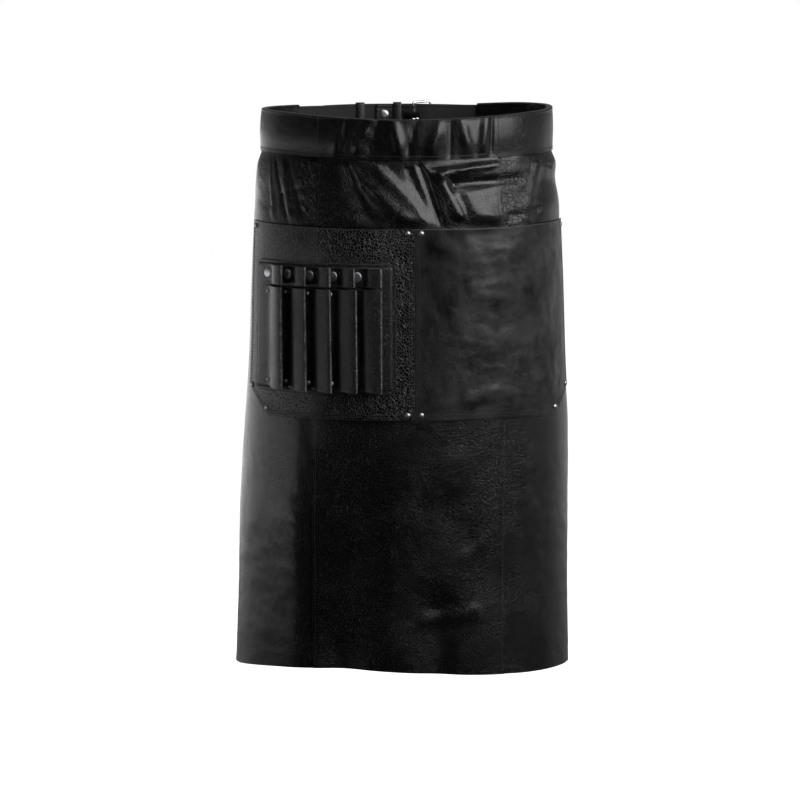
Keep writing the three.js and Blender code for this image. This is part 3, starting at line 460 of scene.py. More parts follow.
def body_folds(across, height):
    upper = 1 - smooth(height, UPPER_CALM["full"], UPPER_CALM["top"])
    upper = upper * smooth(height, UPPER_CALM["bottom"], UPPER_CALM["full_end"])
    lower = 1 - smooth(height, LOWER_CALM["full"], LOWER_CALM["top"])
    high = fold_height(UPPER_FOLDS, across, height) + fold_height(UPPER_CREASES, across, height)
    low = fold_height(LOWER_FOLDS, across, height) + fold_height(LOWER_CREASES, across, height)
    return upper * high + lower * low + (upper + lower) * BODY_WAVE * drift(across, height)


def pucker_lift(across, height):
    total = 0
    for rows in (PUCKERS, TUCKS):
        for top, bottom, width, lift in zip(*rows.values()):
            middle = bottom + (top - bottom) * (height - BAND_BOTTOM) / BAND_HEIGHT
            total = total + lift * np.exp(-((across - middle) / width) ** 2)
    return total


def pocket_top_at(across):
    return POCKET_TOP + POCKET_TOP_RISE * (across / POCKET_WIDTH) ** 2


def pocket_bottom_at(out):
    return POCKET_BOTTOM + np.maximum(out - CORNER_START, 0) * CORNER_DOWN / CORNER_ACROSS


def pocket_lift(pocket, out, height):
    """Lift of a pocket's inner face: on the body at its sewn edges, and gaping at the mouth."""
    down = np.clip((height - POCKET_TOP) / (POCKET_BOTTOM - POCKET_TOP), 0, 1)
    belly = smooth(out, BELLY["start"], BELLY["full"]) * (1 - smooth(out, BELLY["full_end"], BELLY["end"]))
    held = MOUTH["hold"] * smooth(height, POCKET_TOP - MOUTH["hold_depth"], POCKET_TOP)
    return GAP + pocket["bulge"] * belly * (1 - down) ** MOUTH["taper"] * (1 - held)


def left_pocket_face(across, height):
    return pocket_lift(LEFT, POCKET_MEETING - across, height) + BODY_LEATHER


def patch_face(across, height, standoff):
    return left_pocket_face(across, height) + GAP + standoff * (WASHER + GAP) + PATCH_LEATHER


def strip_face(across, height):
    return patch_face(across, height, 1) + GAP + STRIP_LEATHER


# Making of meshes
UP = np.array([0, 0, 1.0])
SMOOTH_LIMIT = math.radians(50)
RIM_ROUND = 0.3
MITRE_LIMIT = 1.5
POLE_RADIUS = 1e-4


def put(name, data):
    """A new object in the scene."""
    made = bpy.data.objects.new(name, data)
    bpy.context.scene.collection.objects.link(made)
    return made


def add_piece(name, points, faces, finishes, marks=None):
    """A mesh from points in millimetres, with its finishes and the number of the finish on each face."""
    mesh = bpy.data.meshes.new(name)
    mesh.from_pydata(np.asarray(points) * MM, [], faces, shade_flat=False)
    for finish in finishes:
        mesh.materials.append(finish)
    if marks is not None:
        mesh.polygons.foreach_set("material_index", np.asarray(marks, np.int32))
    mesh.update()
    mesh.set_sharp_from_angle(angle=SMOOTH_LIMIT)
    return put(name, mesh)


def stand_for(piece, slot, *nodes):
    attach(piece, "root")
    if nodes:
        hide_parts(*nodes)


def closed_sheet(name, outer, inner, finishes, rubbed_and_highlit=None):
    """A sheet of leather from grids of its outer and inner points, with a rounded rim.

    Columns run right and rows down. Columns of faces that are rubbed and highlit take the fourth finish,
    pale with wear and a painted highlight.
    """
    rows, columns = outer.shape[:2]
    count = rows * columns
    number = np.arange(count).reshape(rows, columns)
    a = number[:-1, :-1].ravel()
    b = number[1:, :-1].ravel()
    c = number[1:, 1:].ravel()
    d = number[:-1, 1:].ravel()
    face = np.stack([a, b, c, d], axis=1)
    back = np.stack([a, d, c, b], axis=1) + count
    border = np.concatenate([number[0, :-1], number[:-1, -1], number[-1, :0:-1], number[:0:-1, 0]])
    row, column = np.divmod(border, columns)
    inset = number[np.clip(row, 1, rows - 2), np.clip(column, 1, columns - 2)]
    flat_outer = outer.reshape(-1, 3)
    flat_inner = inner.reshape(-1, 3)
    thickness = np.linalg.norm(flat_outer[border] - flat_inner[border], axis=1, keepdims=True)
    away = unit(flat_outer[border] - flat_outer[inset])
    rim = (flat_outer[border] + flat_inner[border]) / 2 + away * thickness * RIM_ROUND
    middle = 2 * count + np.arange(len(border))
    following = np.roll(border, -1)
    middle_next = np.roll(middle, -1)
    upper = np.stack([border, following, middle_next, middle], axis=1)
    lower = np.stack([middle, middle_next, following + count, border + count], axis=1)
    faces = np.concatenate([face, back, upper, lower])
    marks = np.repeat([0, 1, 2], [len(face), len(back), 2 * len(border)])
    if rubbed_and_highlit is not None:
        marks[:len(face)] = np.tile(np.where(rubbed_and_highlit, 3, 0), rows - 1)
    points = np.concatenate([flat_outer, flat_inner, rim])
    return add_piece(name, points, faces.tolist(), finishes, marks)


def strip_sides(path, thickness):
    """The faces left and right of a flat path, for each point of it."""
    steps = unit(np.diff(path, axis=0))
    arriving = np.concatenate([steps[:1], steps])
    leaving = np.concatenate([steps, steps[-1:]])
    along = unit(arriving + leaving)
    spread = 1 / np.maximum((along * arriving).sum(axis=1), 1 / MITRE_LIMIT)
    left = np.stack([-along[:, 1], along[:, 0]], axis=1) * (spread * thickness / 2)[:, None]
    return path + left, path - left


def circle(radius, sides):
    turn = np.linspace(0, 2 * math.pi, sides, endpoint=False)
    return radius * np.stack([np.cos(turn), np.sin(turn)], axis=1)


def tube_faces(first, rings, sides, ends):
    """Faces round rings of points numbered from first. The ends are open, capped, or joined."""
    faces = []
    for ring in range(rings if ends == "joined" else rings - 1):
        low = first + ring * sides
        high = first + (ring + 1) % rings * sides
        for k in range(sides):
            n = (k + 1) % sides
            faces.append((low + k, high + k, high + n, low + n))
    if ends == "capped":
        last = first + (rings - 1) * sides
        faces.append(tuple(range(first, first + sides)))
        faces.append(tuple(range(last, last + sides))[::-1])
    return faces


def turned(name, profile, sides, places, finish):
    """Round bodies from one profile of (radius, height) rows, at each place: a point and the way out."""
    points = []
    faces = []
    for point, out in places:
        across = unit(np.cross(UP, out))
        ring = circle(1, sides) @ np.array([across, np.cross(out, across)])
        faces.extend(tube_faces(len(points), len(profile), sides, "open"))
        for radius, height in profile:
            points.extend(point + ring * max(radius, POLE_RADIUS) + out * height)
    return add_piece(name, points, faces, [finish])


def swept(name, path, up, section, ends, finish):
    """A rod along a path. Its section's second axis is up, which is square to the path everywhere."""
    if ends == "joined":
        along = np.roll(path, -1, axis=0) - np.roll(path, 1, axis=0)
    else:
        along = np.gradient(path, axis=0)
    right = unit(np.cross(along, up))
    section = np.asarray(section, float)
    points = path[:, None] + right[:, None] * section[:, :1] + up * section[:, 1:]
    faces = tube_faces(0, len(path), len(section), ends)
    return add_piece(name, points.reshape(-1, 3), faces, [finish])


STITCH = {"length": 3.0, "pitch": 4.1, "radius": 0.5, "sunk": 0.1, "sides": 5, "aim": 1}
STITCH_SHAPE = ((-0.5, 0.35), (-0.3, 1), (0.3, 1), (0.5, 0.35))


def point_along(line, run, distance):
    return np.array([np.interp(distance, run, column) for column in line.T])


def stitches(name, rows):
    """Rows of stitches as one piece. A row is a line of surface points with the way out at each."""
    points = []
    faces = []
    for line, out in rows:
        steps = np.linalg.norm(np.diff(line, axis=0), axis=1)
        run = np.concatenate([[0], np.cumsum(steps)])
        count = int(run[-1] / STITCH["pitch"])
        for middle in (np.arange(count) + 0.5) * run[-1] / max(count, 1):
            start = point_along(line, run, middle - STITCH["aim"])
            end = point_along(line, run, middle + STITCH["aim"])
            along = unit(end - start)
            side = unit(np.cross(along, point_along(out, run, middle)))
            normal = np.cross(side, along)
            centre = (start + end) / 2 - normal * STITCH["sunk"]
            ring = circle(STITCH["radius"], STITCH["sides"]) @ np.array([side, normal])
            faces.extend(tube_faces(len(points), len(STITCH_SHAPE), STITCH["sides"], "capped"))
            for share, fat in STITCH_SHAPE:
                points.extend(centre + along * share * STITCH["length"] + ring * fat)
    piece = add_piece(name, points, faces, [thread])
    stand_for(piece, "leather")
    return piece


# Finishes
class Number:
    """One output of a shader node. Arithmetic on it adds Math nodes."""

    def __init__(self, finish, output):
        self.finish = finish
        self.output = output

    def math(self, operation, first, second):
        return self.finish.node("ShaderNodeMath", {"operation": operation}, {0: first, 1: second})

    def __add__(self, other):
        return self.math("ADD", self, other)

    def __radd__(self, other):
        return self.math("ADD", other, self)

    def __sub__(self, other):
        return self.math("SUBTRACT", self, other)

    def __rsub__(self, other):
        return self.math("SUBTRACT", other, self)

    def __mul__(self, other):
        return self.math("MULTIPLY", self, other)

    def __rmul__(self, other):
        return self.math("MULTIPLY", other, self)


class Finish:
    """The nodes of a material or a world, as they are put together."""

    def __init__(self, owner):
        self.owner = owner
        owner.use_nodes = True
        self.tree = owner.node_tree
        self.tree.nodes.clear()

    def node(self, kind, settings=None, inputs=None, output=0):
        """A node of this kind: its settings first, then the values or links of its sockets."""
        made = self.tree.nodes.new(kind)
        for name, value in (settings or {}).items():
            setattr(made, name, value)
        for key, value in (inputs or {}).items():
            if isinstance(value, Number):
                self.tree.links.new(value.output, made.inputs[key])
            else:
                made.inputs[key].default_value = value
        return Number(self, made.outputs[output]) if made.outputs else None

    def place(self):
        return self.node("ShaderNodeTexCoord", output="Object")

    def axis(self, name):
        return self.node("ShaderNodeSeparateXYZ", None, {0: self.place()}, name)

    def noise(self, size, detail=3.0, roughness=0.55, output="Fac"):
        """Soft noise with features of about this size in millimetres."""
        inputs = {"Vector": self.place(), "Scale": 1 / (size * MM), "Detail": detail, "Roughness": roughness}
        return self.node("ShaderNodeTexNoise", None, inputs, output)

    def cells(self, size, feature, place):
        """Distance within cells of about this size in millimetres, or from their borders."""
        inputs = {"Vector": place, "Scale": 1 / (size * MM)}
        return self.node("ShaderNodeTexVoronoi", {"feature": feature}, inputs, "Distance")

    def borders(self, size, width, place):
        """0 on the borders of cells of this size, rising to 1 at this share of it away from them."""
        return self.between(self.cells(size, "DISTANCE_TO_EDGE", place), 0.0, width)

    def vector(self, operation, inputs):
        return self.node("ShaderNodeVectorMath", {"operation": operation}, inputs)

    def stirred(self, size, amount):
        """The place, pushed about by noise of this size by this amount, both in millimetres."""
        push = self.noise(size, detail=2.0, roughness=0.5, output="Color")
        push = self.vector("SUBTRACT", {0: push, 1: (0.5, 0.5, 0.5)})
        push = self.vector("SCALE", {0: push, "Scale": 2 * amount * MM})
        return self.vector("ADD", {0: self.place(), 1: push})

    def between(self, value, low, high):
        """0 below low, 1 above high, with an easy slope between."""
        inputs = {"Value": value, "From Min": low, "From Max": high}
        return self.node("ShaderNodeMapRange", {"interpolation_type": "SMOOTHSTEP"}, inputs)

    def zone(self, value, start, full, full_end, end):
        """1 from full to full_end, fading to 0 at start and end."""
        return self.between(value, start, full) * (1 - self.between(value, full_end, end))

    def spread(self, value, low, high):
        """A value from 0 to 1 spread from low to high."""
        return self.node("ShaderNodeMapRange", None, {"Value": value, "To Min": low, "To Max": high})

    def about(self, value, middle, reach):
        """A value from 0 to 1 spread this far to both sides of a middle."""
        return self.spread(value, middle - reach, middle + reach)

    def blend(self, factor, first, second):
        """A colour between two colours, or links to colours."""
        inputs = {"Factor": factor, "A": first, "B": second}
        return self.node("ShaderNodeMix", {"data_type": "RGBA"}, inputs, "Result")

    def surface(self, bump=None, depth=0.0, **sockets):
        """Ends a material. Sockets are its shader's own, and depth is the bump's height in millimetres."""
        inputs = {key.replace("_", " "): value for key, value in sockets.items()}
        if bump:
            relief = {"Height": bump, "Distance": depth * MM, "Strength": 1.0}
            inputs["Normal"] = self.node("ShaderNodeBump", None, relief, "Normal")
        shader = self.node("ShaderNodeBsdfPrincipled", None, inputs)
        self.node("ShaderNodeOutputMaterial", None, {"Surface": shader})
        return self.owner


COOL = 1.06


def grey(value):
    return (value, value, value * COOL, 1)


def start_material(name):
    return Finish(bpy.data.materials.new(name))


# Grain of the leather: sizes in shares of a pebble, and what each layer adds to the relief
STIR = {"size": 4, "amount": 0.7}
GROOVE = 0.09
FINE = {"size": 0.5, "groove": 0.1}
RELIEF = {"pebbles": 0.7, "fine": 0.1, "domes": 0.03, "pores": 0.04, "crackle": 2.2}
# Sizes in millimetres: pores, patches of weaker grain, clouds of the dye and of the sheen, and the share of
# the dye's clouds left in painted shade
PORES = 0.5
PATCHES = {"size": 60, "slope": (0.4, 0.68), "least": 0.65}
CLOUDS = {"size": 46, "slope": (0.36, 0.64), "painted_shade": 0.2}
SHEEN = {"size": 30, "reach": 0.07}
# Crackled leather beside the seams: zones along X and Z in metres, their ragged ends, and its cells
CRACKLE = {"right": (0.08, 0.11, 0.155, 0.19), "left": (-0.15, -0.132, -0.1, -0.08), "left_share": 0.8,
           "height": (-0.14, -0.115, -0.046, -0.03)}
RAGGED = {"X": 18, "Z": 23, "reach": 0.05}
CRACKS = {"size": 7, "width": 0.1, "stir": (11, 2.4)}
SPLITS = {"size": 3.4, "width": 0.12, "stir": (6, 1.2), "share": 0.4}


def ragged(make, axis):
    """Places along an axis, pushed about by noise."""
    return make.axis(axis) + (make.noise(RAGGED[axis], detail=2.0) - 0.5) * RAGGED["reach"]


def crackle(make):
    """How far the leather stands up between its cracks, within the crackled zones."""
    x = ragged(make, "X")
    beside = make.zone(x, *CRACKLE["right"]) + CRACKLE["left_share"] * make.zone(x, *CRACKLE["left"])
    cracks = make.borders(CRACKS["size"], CRACKS["width"], make.stirred(*CRACKS["stir"]))
    splits = make.borders(SPLITS["size"], SPLITS["width"], make.stirred(*SPLITS["stir"]))
    return beside * make.zone(ragged(make, "Z"), *CRACKLE["height"]) * (cracks + SPLITS["share"] * splits)


def leather_finish(name, pebble, depth, tones, roughness, gloss=0.5, crackled=False, painted_shade=None):
    """Black dyed leather, with pebbles of this size and depth in millimetres.

    Tones are the darkest and lightest of the dye, and that of the grooves; a groove tone lighter than the
    dye is a painted highlight for the glints along the grain. Painted shade darkens the leather to the left
    of a slope between two places along X, in metres.
    """
    make = start_material(name)
    warped = make.stirred(STIR["size"] * pebble, STIR["amount"] * pebble)
    plateau = make.borders(pebble, GROOVE, warped)
    fine = make.borders(FINE["size"] * pebble, FINE["groove"], warped)
    dome = 1 - make.cells(pebble, "SMOOTH_F1", warped)
    patches = make.between(make.noise(PATCHES["size"]), *PATCHES["slope"])
    strength = make.spread(patches, PATCHES["least"], 1.0)
    grain = plateau * RELIEF["pebbles"] + fine * RELIEF["fine"] + dome * RELIEF["domes"]
    height = grain * strength + make.noise(PORES, detail=2.0) * RELIEF["pores"]
    if crackled:
        height = height + crackle(make) * RELIEF["crackle"]
    low, high, groove = tones
    cloud = make.between(make.noise(CLOUDS["size"], detail=4.0, roughness=0.6), *CLOUDS["slope"])
    # Painted shade: the dye's clouds darken to the left of the given slope along X
    if painted_shade:
        cloud = cloud * make.spread(make.between(make.axis("X"), *painted_shade), CLOUDS["painted_shade"], 1.0)
    # Grooves take the groove tone: where it is lighter than the dye, it is a painted highlight for the
    # glints along the grain
    tone = make.blend((1 - plateau) * strength, make.blend(cloud, grey(low), grey(high)), grey(groove))
    sheen = make.noise(SHEEN["size"], detail=4.0, roughness=0.65)
    rough = make.about(sheen, roughness, SHEEN["reach"])
    return make.surface(height, depth, Base_Color=tone, Roughness=rough, Specular_IOR_Level=gloss)


# Mottling of the plain finishes in shares of their grain; pale patches, partly rubbed wear and partly a
# painted highlight, and scuffs in millimetres
MOTTLE = 12
RUBBED_AND_HIGHLIT = {"size": 9, "slope": (0.25, 0.6), "grain_slope": (0.4, 0.64)}
SCUFFS = 1.6
TARNISH = {"size": 5, "slope": (0.35, 0.65)}


def plain_finish(name, dark, light, roughness, size, depth):
    """Fibrous or smooth surfaces: noise of one size in colour and height."""
    make = start_material(name)
    grain = make.noise(size, detail=4.0, roughness=0.65)
    tone = make.blend(make.noise(MOTTLE * size), grey(dark), grey(light))
    rough = make.about(grain, roughness, 0.06)
    return make.surface(grain, depth, Base_Color=tone, Roughness=rough)


def wear_and_highlight_finish(name, dark, light, roughness, size, depth):
    """Leather pale on the tops of its grain, of this size in millimetres: partly rubbed wear, partly a
    painted highlight.
    """
    make = start_material(name)
    grain = make.between(make.noise(size, roughness=0.6), *RUBBED_AND_HIGHLIT["grain_slope"])
    grain = grain * make.between(make.noise(RUBBED_AND_HIGHLIT["size"]), *RUBBED_AND_HIGHLIT["slope"])
    tone = make.blend(grain, grey(dark), grey(light))
    rough = make.about(grain, roughness, 0.1)
    return make.surface(grain, depth, Base_Color=tone, Roughness=rough)


def metal_finish(name, dark, light, roughness, depth):
    make = start_material(name)
    scuff = make.noise(SCUFFS, detail=5.0, roughness=0.7)
    tarnish = make.between(make.noise(TARNISH["size"]), *TARNISH["slope"])
    tone = make.blend(tarnish, grey(dark), grey(light))
    rough = make.spread(scuff, roughness - 0.05, roughness + 0.08)
    return make.surface(scuff, depth, Base_Color=tone, Roughness=rough, Metallic=1.0)


# The third tone of each finish paints its grooves; where it is lighter than the dye, it is a painted
# highlight for the grain's glints
body_leather = leather_finish("body_leather", 2.9, 0.15, (0.0004, 0.001, 0.026), 0.19)
side_leather = leather_finish("side_leather", 2.9, 0.15, (0.0004, 0.001, 0.02), 0.2, crackled=True)
band_leather = leather_finish("band_leather", 2.7, 0.16, (0.0004, 0.001, 0.016), 0.2)
pebbled_leather = leather_finish("pebbled_leather", 3.6, 0.46, (0.0004, 0.001, 0.07), 0.21)
# The right pocket is darker to the left of 0.03 to 0.065 m along X, towards its inner edge: painted shade
pocket_leather = leather_finish("pocket_leather", 2.9, 0.2, (0.003, 0.028, 0.002), 0.34, gloss=0.38,
                                painted_shade=(0.03, 0.065))
holder_leather = leather_finish("holder_leather", 2.4, 0.4, (0.0004, 0.001, 0.04), 0.24)
strap_leather = leather_finish("strap_leather", 1.3, 0.12, (0.002, 0.004, 0.004), 0.36)
flesh_side = plain_finish("flesh_side", 0.01, 0.018, 0.86, 0.9, 0.12)
cut_edge = plain_finish("cut_edge", 0.016, 0.03, 0.8, 0.6, 0.1)
# Rim of the right pocket: a paler cut edge, partly a painted highlight along it
pale_edge_and_highlight = plain_finish("pale_edge_and_highlight", 0.06, 0.12, 0.8, 0.6, 0.1)
# Pale crests of the loops' folds: partly rubbed wear, partly a painted highlight
wear_and_highlight_fold = wear_and_highlight_finish("wear_and_highlight_fold", 0.004, 0.24, 0.5, 1.8, 0.5)
thread = plain_finish("thread", 0.001, 0.004, 0.6, 0.5, 0.1)
nickel = metal_finish("nickel", 0.42, 0.62, 0.34, 0.01)
chrome = metal_finish("chrome", 0.78, 0.86, 0.12, 0.004)


def leather_piece(node, outer, inner, finish, rim=cut_edge, slot="leather", rubbed_and_highlit=None):
    """A sheet of leather that stands for a node, with the pale finish of wear and painted highlight where it
    is rubbed and highlit.
    """
    finishes = [finish, flesh_side, rim]
    if rubbed_and_highlit is not None:
        finishes.append(wear_and_highlight_fold)
    piece = closed_sheet(f"leather_{node}", outer, inner, finishes, rubbed_and_highlit)
    stand_for(piece, slot, node)
    return piece


# Body panels
FINE_ROWS = {"end": -128, "step": 1.6}
HIDDEN_ROWS = {"start": -132, "end": -380, "step": 14}
LOWER_ROWS = {"start": -382, "count": 88}
PANEL_ROWS = np.concatenate([
    np.arange(PANEL_TOP, FINE_ROWS["end"], -FINE_ROWS["step"]),
    np.arange(HIDDEN_ROWS["start"], HIDDEN_ROWS["end"], -HIDDEN_ROWS["step"]),
    np.linspace(LOWER_ROWS["start"], HEM, LOWER_ROWS["count"]),
])
FRONT_COLUMNS = 180
SIDE_COLUMNS = 84
STEP_START = 2
STEP_END = 36


def panel_faces(across, height, under):
    fold = body_folds(across, height) - under
    return skin(across, height, fold), skin(across, height, fold - BODY_LEATHER)


def make_front_panel():
    height = PANEL_ROWS[:, None]
    share = np.linspace(0, 1, FRONT_COLUMNS)[None, :]
    left = read(EDGES, "left_seam", height)
    right = read(EDGES, "right_seam", height)
    outer, inner = panel_faces(left + (right - left) * share, height + 0 * share, 0)
    return leather_piece("panel_front", outer, inner, body_leather)


def make_side_panel(side_name, side):
    height = PANEL_ROWS[:, None]
    seam = read(EDGES, f"{side_name}_seam", height)
    rear = read(EDGES, f"{side_name}_rear", height)
    share = np.linspace(0, 1, SIDE_COLUMNS)[None, :]
    past = -LAP + (np.abs(rear - seam) + LAP) * share
    if side < 0:
        past = past[:, ::-1]
    under = (BODY_LEATHER + LAP_GAP) * (1 - smooth(past, STEP_START, STEP_END))
    outer, inner = panel_faces(seam + side * past, height + 0 * past, under)
    return leather_piece(f"panel_{side_name}", outer, inner, side_leather)


# Waistband
SEAM_GAP = GAP / 2
BAND_STEPS = 6
BAND_FRONT_COLUMNS = 190
BAND_SIDE_COLUMNS = 80


def band_grid(across):
    """Outer and inner points of the folded band at these distances round the front."""
    heights = BAND_SECTION["height"]
    puckers = np.array([pucker_lift(across, height) for height in heights])
    lifts = BAND_SECTION["lift"][:, None] + BAND_SECTION["pucker"][:, None] * puckers
    sides = []
    for column in lifts.T:
        path = eased(np.stack([column, heights], axis=1), BAND_STEPS)
        sides.append(strip_sides(path, BAND_LEATHER))
    sides = np.array(sides).transpose(1, 2, 0, 3)
    return [skin(across + 0 * side[..., 0], side[..., 1], side[..., 0]) for side in sides]


def make_band(node, first, last, columns):
    outer, inner = band_grid(np.linspace(first, last, columns))
    return leather_piece(node, outer, inner, band_leather)


# Pockets
POCKET_COLUMNS = 124
POCKET_ROWS = 104
POCKET_SEWN = {"flat": 3, "free": 34}
RELIEF_FILL = 1


def pocket_face(pocket, out, height):
    """Lift of a pocket's outer face."""
    lift = pocket_lift(pocket, out, height)
    if pocket is RIGHT:
        edge = np.minimum(np.minimum(out, POCKET_WIDTH - out), height - pocket_bottom_at(out))
        relief = POCKET_WAVE * drift(out, height) + fold_height(POCKET_CREASES, out, height) + RELIEF_FILL
        lift = lift + smooth(edge, POCKET_SEWN["flat"], POCKET_SEWN["free"]) * np.maximum(relief, 0)
    return lift + BODY_LEATHER


def make_pocket(node, pocket, finish, rim, slot):
    out = np.linspace(SEAM_GAP, POCKET_WIDTH, POCKET_COLUMNS)[None, :]
    if pocket["side"] < 0:
        out = out[:, ::-1]
    across = POCKET_MEETING + pocket["side"] * out
    share = np.linspace(0, 1, POCKET_ROWS)[:, None]
    height = pocket_top_at(across) + (pocket_bottom_at(out) - pocket_top_at(across)) * share
    lift = pocket_face(pocket, out, height)
    across = across + 0 * share
    inner = skin(across, height, lift - BODY_LEATHER)
    return leather_piece(node, skin(across, height, lift), inner, finish, rim, slot)


# Tool holder
PATCH_COLUMNS = 216
PATCH_ROWS = 174
SEWN_GROOVE = {"inset": 4.2, "width": 1.1, "depth": 0.9}
LOOP_ROUNDS = 3
STRIP_ROWS = 14
SLEEVE_ROWS = 44
# Pale crests of the loops, partly rubbed wear and partly a painted highlight: reach from the crest, and the
# least share of the loop's height
FOLD_WEAR_AND_HIGHLIGHT = {"reach": 2.2, "above": 0.6}


def make_patch():
    across = np.linspace(PATCH["left"], PATCH["right"], PATCH_COLUMNS)[None, :]
    beside = np.minimum(across - PATCH["left"], PATCH["right"] - across)
    corner = PATCH["corner"]
    trim = corner - np.sqrt(corner ** 2 - np.maximum(corner - beside, 0) ** 2)
    share = np.linspace(0, 1, PATCH_ROWS)[:, None]
    height = PATCH["top"] - trim + (PATCH["bottom"] - PATCH["top"] + 2 * trim) * share
    inset = np.minimum(beside, np.minimum(PATCH["top"] - height, height - PATCH["bottom"]))
    across = across + 0 * share
    groove = np.exp(-((inset - SEWN_GROOVE["inset"]) / SEWN_GROOVE["width"]) ** 2)
    face = patch_face(across, height, smooth(inset, PATCH["sewn"], corner)) - SEWN_GROOVE["depth"] * groove
    inner = skin(across, height, face - PATCH_LEATHER)
    return leather_piece("tool_patch", skin(across, height, face), inner, holder_leather)


def loop_path(loops, rise):
    path = [(STRIP_ENDS["left"], 0)]
    for left_foot, crest, right_foot in zip(*loops.values()):
        for along, up in rise:
            path.append((left_foot + (crest - left_foot) * along, LOOP_HEIGHT * up))
        back, up = LOOP_RETURN
        path.append((crest + (right_foot - crest) * back, LOOP_HEIGHT * up))
        path.append((right_foot, 0))
    path.append((STRIP_ENDS["right"], 0))
    return rounded_line(path, LOOP_ROUNDS)


def make_loop_strip(node, loops, rise, ends, rows, droop):
    """A strip with loops, its folds pale along their crests: partly rubbed wear, partly a painted highlight.
    """
    left, right = strip_sides(loop_path(loops, rise), STRIP_LEATHER)
    share = np.linspace(0, 1, rows)[:, None]
    sides = []
    for side in (left, right):
        across = side[:, 0] + 0 * share
        rise_here = np.clip(side[:, 1] / LOOP_HEIGHT, 0, 1) + 0 * share
        height = ends["top"] + (ends["bottom"] - ends["top"]) * share - droop * rise_here * share
        lift = strip_face(across, height) - STRIP_LEATHER / 2 + side[:, 1]
        sides.append(skin(across, height, lift))
    middles = (left[:-1] + left[1:]) / 2
    near = np.abs(middles[:, :1] - loops["crest"]).min(axis=1) < FOLD_WEAR_AND_HIGHLIGHT["reach"]
    rubbed_and_highlit = near & (middles[:, 1] > FOLD_WEAR_AND_HIGHLIGHT["above"] * LOOP_HEIGHT)
    return leather_piece(node, *sides, holder_leather, rubbed_and_highlit=rubbed_and_highlit)


# Rivets: sides of each kind, and profiles of radius and height
RIVET_SIDES = {"dome": 24, "cap": 32, "tack": 20, "belt": 28}
DOME_PROFILE = ((0, 2.0), (1.0, 1.93), (2.0, 1.66), (2.9, 1.1), (3.4, 0.5), (3.7, 0.15), (3.65, 0), (1.3, 0))
CAP_PROFILE = ((0, 1.75), (3, 1.7), (5.6, 1.5), (6.5, 1.2), (7.0, 0.7), (7.2, 0.2), (7.1, 0), (1.5, 0))
TACK_PROFILE = ((0, 1.3), (1.2, 1.2), (2.1, 0.9), (2.6, 0.35), (2.7, 0.1), (2.65, 0), (0.6, 0))
BELT_RIVET_PROFILE = ((0, 1.5), (2.8, 1.45), (4.9, 1.2), (5.9, 0.6), (6.3, 0.15), (6.2, 0), (1.5, 0))
BELT_RIVET_SEAT = 0.1


def lifted(profile, height):
    return [(radius, rise + height) for radius, rise in profile]


def make_rivets():
    for side_name, pocket in (("left", LEFT), ("right", RIGHT)):
        out = POCKET_RIVETS["out"]
        height = POCKET_RIVETS["height"]
        across = POCKET_MEETING + pocket["side"] * out
        places = zip(*surface_row(across, height, pocket_lift(pocket, out, height) + BODY_LEATHER))
        profile = lifted(DOME_PROFILE, SEAT)
        piece = turned(f"rivets_{side_name}_pocket", profile, RIVET_SIDES["dome"], places, nickel)
        stand_for(piece, "rivet_metal", *(f"rivet_{side_name}_{corner}" for corner in RIVET_CORNERS))
    cap_height = (STRIP["top"] + STRIP["bottom"]) / 2
    tack_heights = (SLEEVES["top"] - SLEEVE_RIVET_INSET, SLEEVES["bottom"] + SLEEVE_RIVET_INSET)
    rows = {
        "rivet_cap": (STRIP_LINES, cap_height, CAP_PROFILE, RIVET_SIDES["cap"]),
        "rivet_sleeve_top": (SLEEVE_LINES, tack_heights[0], TACK_PROFILE, RIVET_SIDES["tack"]),
        "rivet_sleeve_bottom": (SLEEVE_LINES, tack_heights[1], TACK_PROFILE, RIVET_SIDES["tack"]),
    }
    for name, (lines, height, profile, sides) in rows.items():
        across = np.array(lines, float)
        places = zip(*surface_row(across, height, strip_face(across, height)))
        piece = turned(f"{name}s", profile, sides, places, nickel)
        stand_for(piece, "rivet_metal", *(f"{name}_{line + 1}" for line in range(len(lines))))


# Belt, buckle and keepers
def waist_point(turn, lift):
    turn = np.asarray(turn, float)
    half = np.where(np.sin(turn) < 0, WAIST["left"], WAIST["right"])
    depth = np.where(np.cos(turn) > 0, WAIST["front"], WAIST["rear"])
    point = np.stack([half * np.sin(turn), -depth * np.cos(turn)], axis=-1)
    out = unit(np.stack([np.sin(turn) / half, -np.cos(turn) / depth], axis=-1))
    return point + out * np.broadcast_to(lift, turn.shape)[..., None], out


def back_turn(x):
    x = np.asarray(x, float)
    return math.pi - np.arcsin(x / np.where(x < 0, WAIST["left"], WAIST["right"]))


FOLDED_LIFT = TUNNEL_MIDDLE - BELT_LEATHER - GAP
bar_point, bar_out = waist_point(back_turn(HEEL_BAR_X), TUNNEL_MIDDLE - FOLD_RADIUS)
bar_along = np.array([bar_out[1], -bar_out[0]])
# The buckle's own frame: its middle, along the belt and outwards
heel_middle = np.array([*bar_point, BELT_MIDDLE + BACK_RISE])
heel_along = np.array([*bar_along, 0])
heel_out = np.array([*bar_out, 0])

BELT_STEPS = {"folded": 14, "bend": 17, "round": 300}


